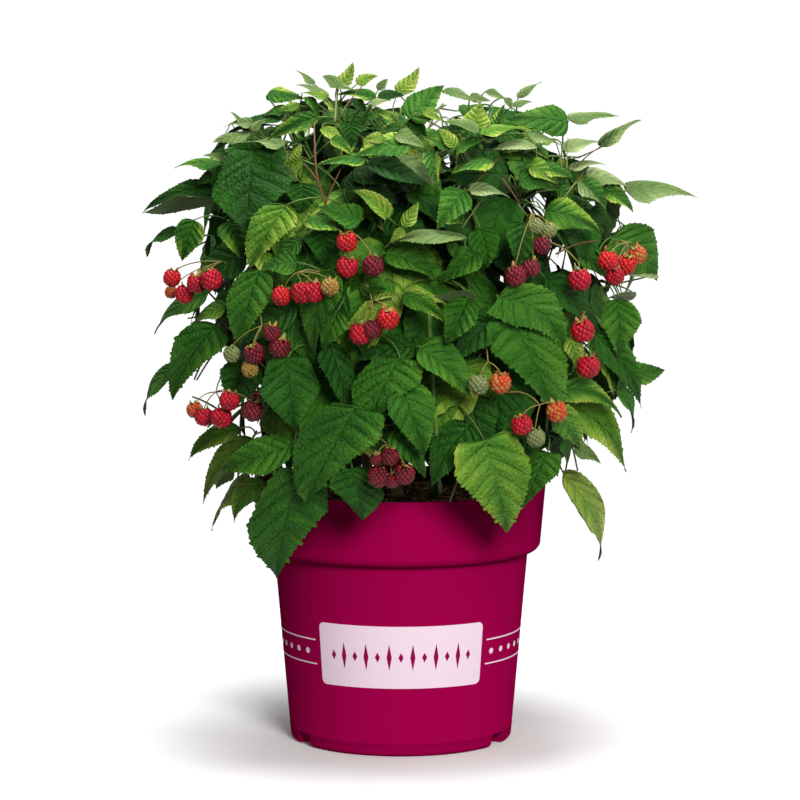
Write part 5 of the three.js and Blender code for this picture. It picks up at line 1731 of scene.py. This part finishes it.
def compound_leaf(mass, number, attempt):
    """The leaflets of one leaf of a mass, its joint and its way."""
    rule = RULE[mass["name"]]
    dice = dice_for(mass["number"] * 10007 + number * 101 + attempt)
    off = mass["spread"] * math.sqrt((number + 0.2 + 0.7 * dice()) / rule["leaves"]) * 1.05
    way = aside_from(mass["way"].normalized(), off, math.radians(GOLDEN * number + 50 * dice()))
    in_front = max(0, min(1, -1.5 * way.y - 0.1))
    outmost = 1.0 - 0.08 * in_front + 0.07 * noise.noise(way * 2.5)
    depth = between(0.6, outmost - 0.05, 1 - (1 - dice()) ** 2)
    normal = outward(way)
    level = along_surface(normal)[0]
    splay = level * between(-1, 1, dice()) + normal * between(0.1, 0.8, dice())
    onward = (DOWN * rule["hang"] * between(0.35, 1.0, dice()) + splay * 0.8).normalized()
    if mass["name"] in ("top", "shoulder") and dice() < 0.35:
        onward = (UP * 0.6 + splay).normalized()
    face = (normal * 0.8 + UP * between(0.3, 1.3, dice()) + level * between(-1.1, 1.1, dice())).normalized()
    face = (face - onward * face.dot(onward)).normalized()
    length = mass["leaf"] * rule["size"] * between(0.62, 1.0, dice())
    joint = on_crown(way, depth) - onward * 0.4 * length
    # Leaves deep inside the crown take the deep and dark tones: painted shade.
    deep_in_crown_shade = depth < 0.78
    tone = ("deep", "dark", "deep")[int(3 * dice())] if deep_in_crown_shade else rule["deal"][int(6 * dice())]
    found = [leaf_of(joint + onward * JOINT_BEFORE * length, onward, face, length, tone, dice)]
    for side in (-1, 1):
        turned = Matrix.Rotation(side * math.radians(between(52, 78, dice())), 3, face) @ onward
        lean = (face + turned * between(-0.1, 0.35, dice())).normalized()
        size = length * between(*SIDE_SIZE, dice())
        found.append(leaf_of(joint + turned * 2 * MM, turned, lean, size, tone, dice))
    return found, joint, onward, outmost


# %% [markdown]
# A real bush isn't closed all over. The leaves by rule keep a few openings clear, through which the
# light behind shows, stay inside the crown's outline as it is seen from the front, and don't hang
# before the soil or the rim. An opening is a small oval in the frame, with its middle and half sizes.

# %% Openings and outline
Opening = namedtuple("Opening", "middle wide high")
OPENINGS = {
    "left_high": Opening((243, 262), 6, 6), "left": Opening((213, 304), 8, 9),
    "left_middle": Opening((211, 372), 14, 22), "left_slit": Opening((259, 388), 4, 8),
    "left_low": Opening((253, 425), 9, 6), "right_high": Opening((556, 258), 9, 7),
    "right_slit": Opening((503, 283), 6, 6), "right": Opening((590, 281), 9, 8),
    "right_fork": Opening((622, 289), 8, 5), "right_low": Opening((590, 346), 5, 5),
    "right_shade": Opening((536, 200), 11, 6), "upper_slit": Opening((451, 162), 5, 5),
    "high": Opening((455, 193), 5, 3), "top": Opening((430, 120), 12, 7),
}
CROWN_OUTLINE = (
    (222, 132), (238, 120), (262, 114), (284, 110), (300, 100), (322, 96), (352, 98), (372, 108),
    (398, 100), (416, 112), (424, 132), (448, 128), (452, 112), (470, 100), (496, 100), (510, 108),
    (538, 105), (566, 114), (566, 134), (556, 150), (566, 158), (600, 168), (628, 180), (626, 206),
    (612, 212), (616, 226), (640, 226), (662, 244), (660, 280), (636, 282), (636, 300), (640, 320),
    (632, 350), (650, 366), (642, 388), (638, 404), (620, 384), (612, 388), (622, 412), (630, 436),
    (626, 464), (604, 448), (578, 444), (566, 466), (556, 482), (545, 545), (260, 545), (250, 515),
    (234, 520), (240, 495), (214, 528), (202, 500), (218, 462), (190, 458), (206, 436), (236, 426),
    (250, 418), (238, 402), (220, 384), (228, 364), (224, 350), (202, 374), (176, 396), (170, 348),
    (186, 334), (222, 318), (224, 298), (200, 306), (158, 328), (180, 296), (204, 268), (216, 248),
    (194, 258), (180, 256), (180, 224), (190, 206), (214, 202), (204, 190), (196, 182), (204, 170),
    (184, 168), (206, 156), (222, 150), (214, 142),
)
SOIL_VIEW = Opening((420, 478), 44, 26)
OVERHANG_LIMIT, RIM_LIMIT = 0.255, 0.02
RAYS_ROUND = 8


def rays_of(opening):
    """The lines of sight through an opening's middle and round its edge."""
    turns = [math.tau * i / RAYS_ROUND for i in range(RAYS_ROUND)]
    spots = [opening.middle] + [(opening.middle[0] + opening.wide * math.cos(t),
                                 opening.middle[1] + opening.high * math.sin(t)) for t in turns]
    return [(seen_at(*spot, 0) - EYE).normalized() for spot in spots]


def place_in_frame(point):
    """Where a point is seen, in pixels of the frame."""
    sight = point - EYE
    depth = sight.dot(FORWARD)
    return FRAME_SIDE / 2 + FOCAL * sight.x / depth, FRAME_SIDE / 2 - FOCAL * sight.dot(UPWARD) / depth


def in_outline(px, py):
    """Whether a place lies inside the crown's outline: an odd number of its sides lie to the right."""
    odd = False
    for (x0, y0), (x1, y1) in zip(CROWN_OUTLINE, CROWN_OUTLINE[1:] + CROWN_OUTLINE[:1]):
        if (y0 > py) != (y1 > py) and px < x0 + (py - y0) * (x1 - x0) / (y1 - y0):
            odd = not odd
    return odd


sky_rays = [ray for opening in OPENINGS.values() for ray in rays_of(opening)]
soil_rays = rays_of(SOIL_VIEW)


def keeps_view(kite):
    """False where a leaf closes an opening, passes the outline, or hangs before the soil or the rim."""
    if any(kite["tree"].ray_cast(EYE, ray)[0] is not None for ray in sky_rays):
        return False
    points = kite["points"]
    if not all(in_outline(*place_in_frame(point)) for point in points):
        return False
    if min(point.y for point in points) < RIM_LIMIT and min(point.z for point in points) < OVERHANG_LIMIT:
        return False
    hits = [kite["tree"].ray_cast(EYE, ray)[0] for ray in soil_rays]
    return not any(hit is not None and hit.y < RIM_LIMIT for hit in hits)


def grow(mass, number):
    """Sets down one compound leaf where there is room for its end leaflet."""
    for attempt in range(MOST_TRIES):
        found, joint, onward, outmost = compound_leaf(mass, number, attempt)
        kites = [kite_of(leaf) for leaf in found]
        if not (has_room(kites[0], outmost) and keeps_view(kites[0])):
            continue
        heap, kept = stalks[mass["name"]], 0
        for leaf, kite in zip(found, kites):
            if kept and not (has_room(kite, outmost) and keeps_view(kite)):
                continue
            leaf["blade"] = coarse_blade
            leaves[mass["name"]].append(leaf)
            standing.add(kite)
            kept += 1
        finish = STALK["green"]
        heap.add_tube(Line([joint, found[0]["root"]]), 0.6 * MM, 0.5 * MM, 1, finish)
        petiole(heap, joint, onward, finish)
        return kept
    return 0


grown = 0
for number in range(max(rule["leaves"] for rule in RULE.values())):
    for mass in masses:
        if number < RULE[mass["name"]]["leaves"]:
            grown += grow(mass, number)
print(grown, "leaflets follow the rule")

# %% [markdown]
# ## Leaves and fruit as pieces
# The leaves of one tier become one piece that stands for that tier's masses, and the stalks, the
# fruits and their caps are pieces of their own.

# %% Foliage pieces
for tier in TIERS:
    name = tier["name"]
    heap = Heap()
    for blade in (broad_blade, fine_blade, coarse_blade):
        add_leaves(heap, blade, [leaf for leaf in leaves[name] if leaf["blade"] is blade])
    nodes = [f"foliage_{mass['node']}" for mass in masses if mass["name"] == name]
    heap.piece(f"leaves_{name}", "foliage", leaf_finishes, replaced=nodes, crease=50)
    stalks[name].piece(f"stalks_{name}", "foliage", stalk_finishes)
fruits.piece("raspberries", "fruit", fruit_finishes)
fruit_caps.piece("fruit_caps", "fruit", cap_finishes)

# %% Finish
dressed_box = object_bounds()
for axis, low, high, new_low, new_high in zip("xyz", *cad_box, *dressed_box):
    was, now = (round(low, 3), round(high, 3)), (round(new_low, 3), round(new_high, 3))
    print(axis, "from", was[0], "to", was[1], "is now", now[0], "to", now[1])
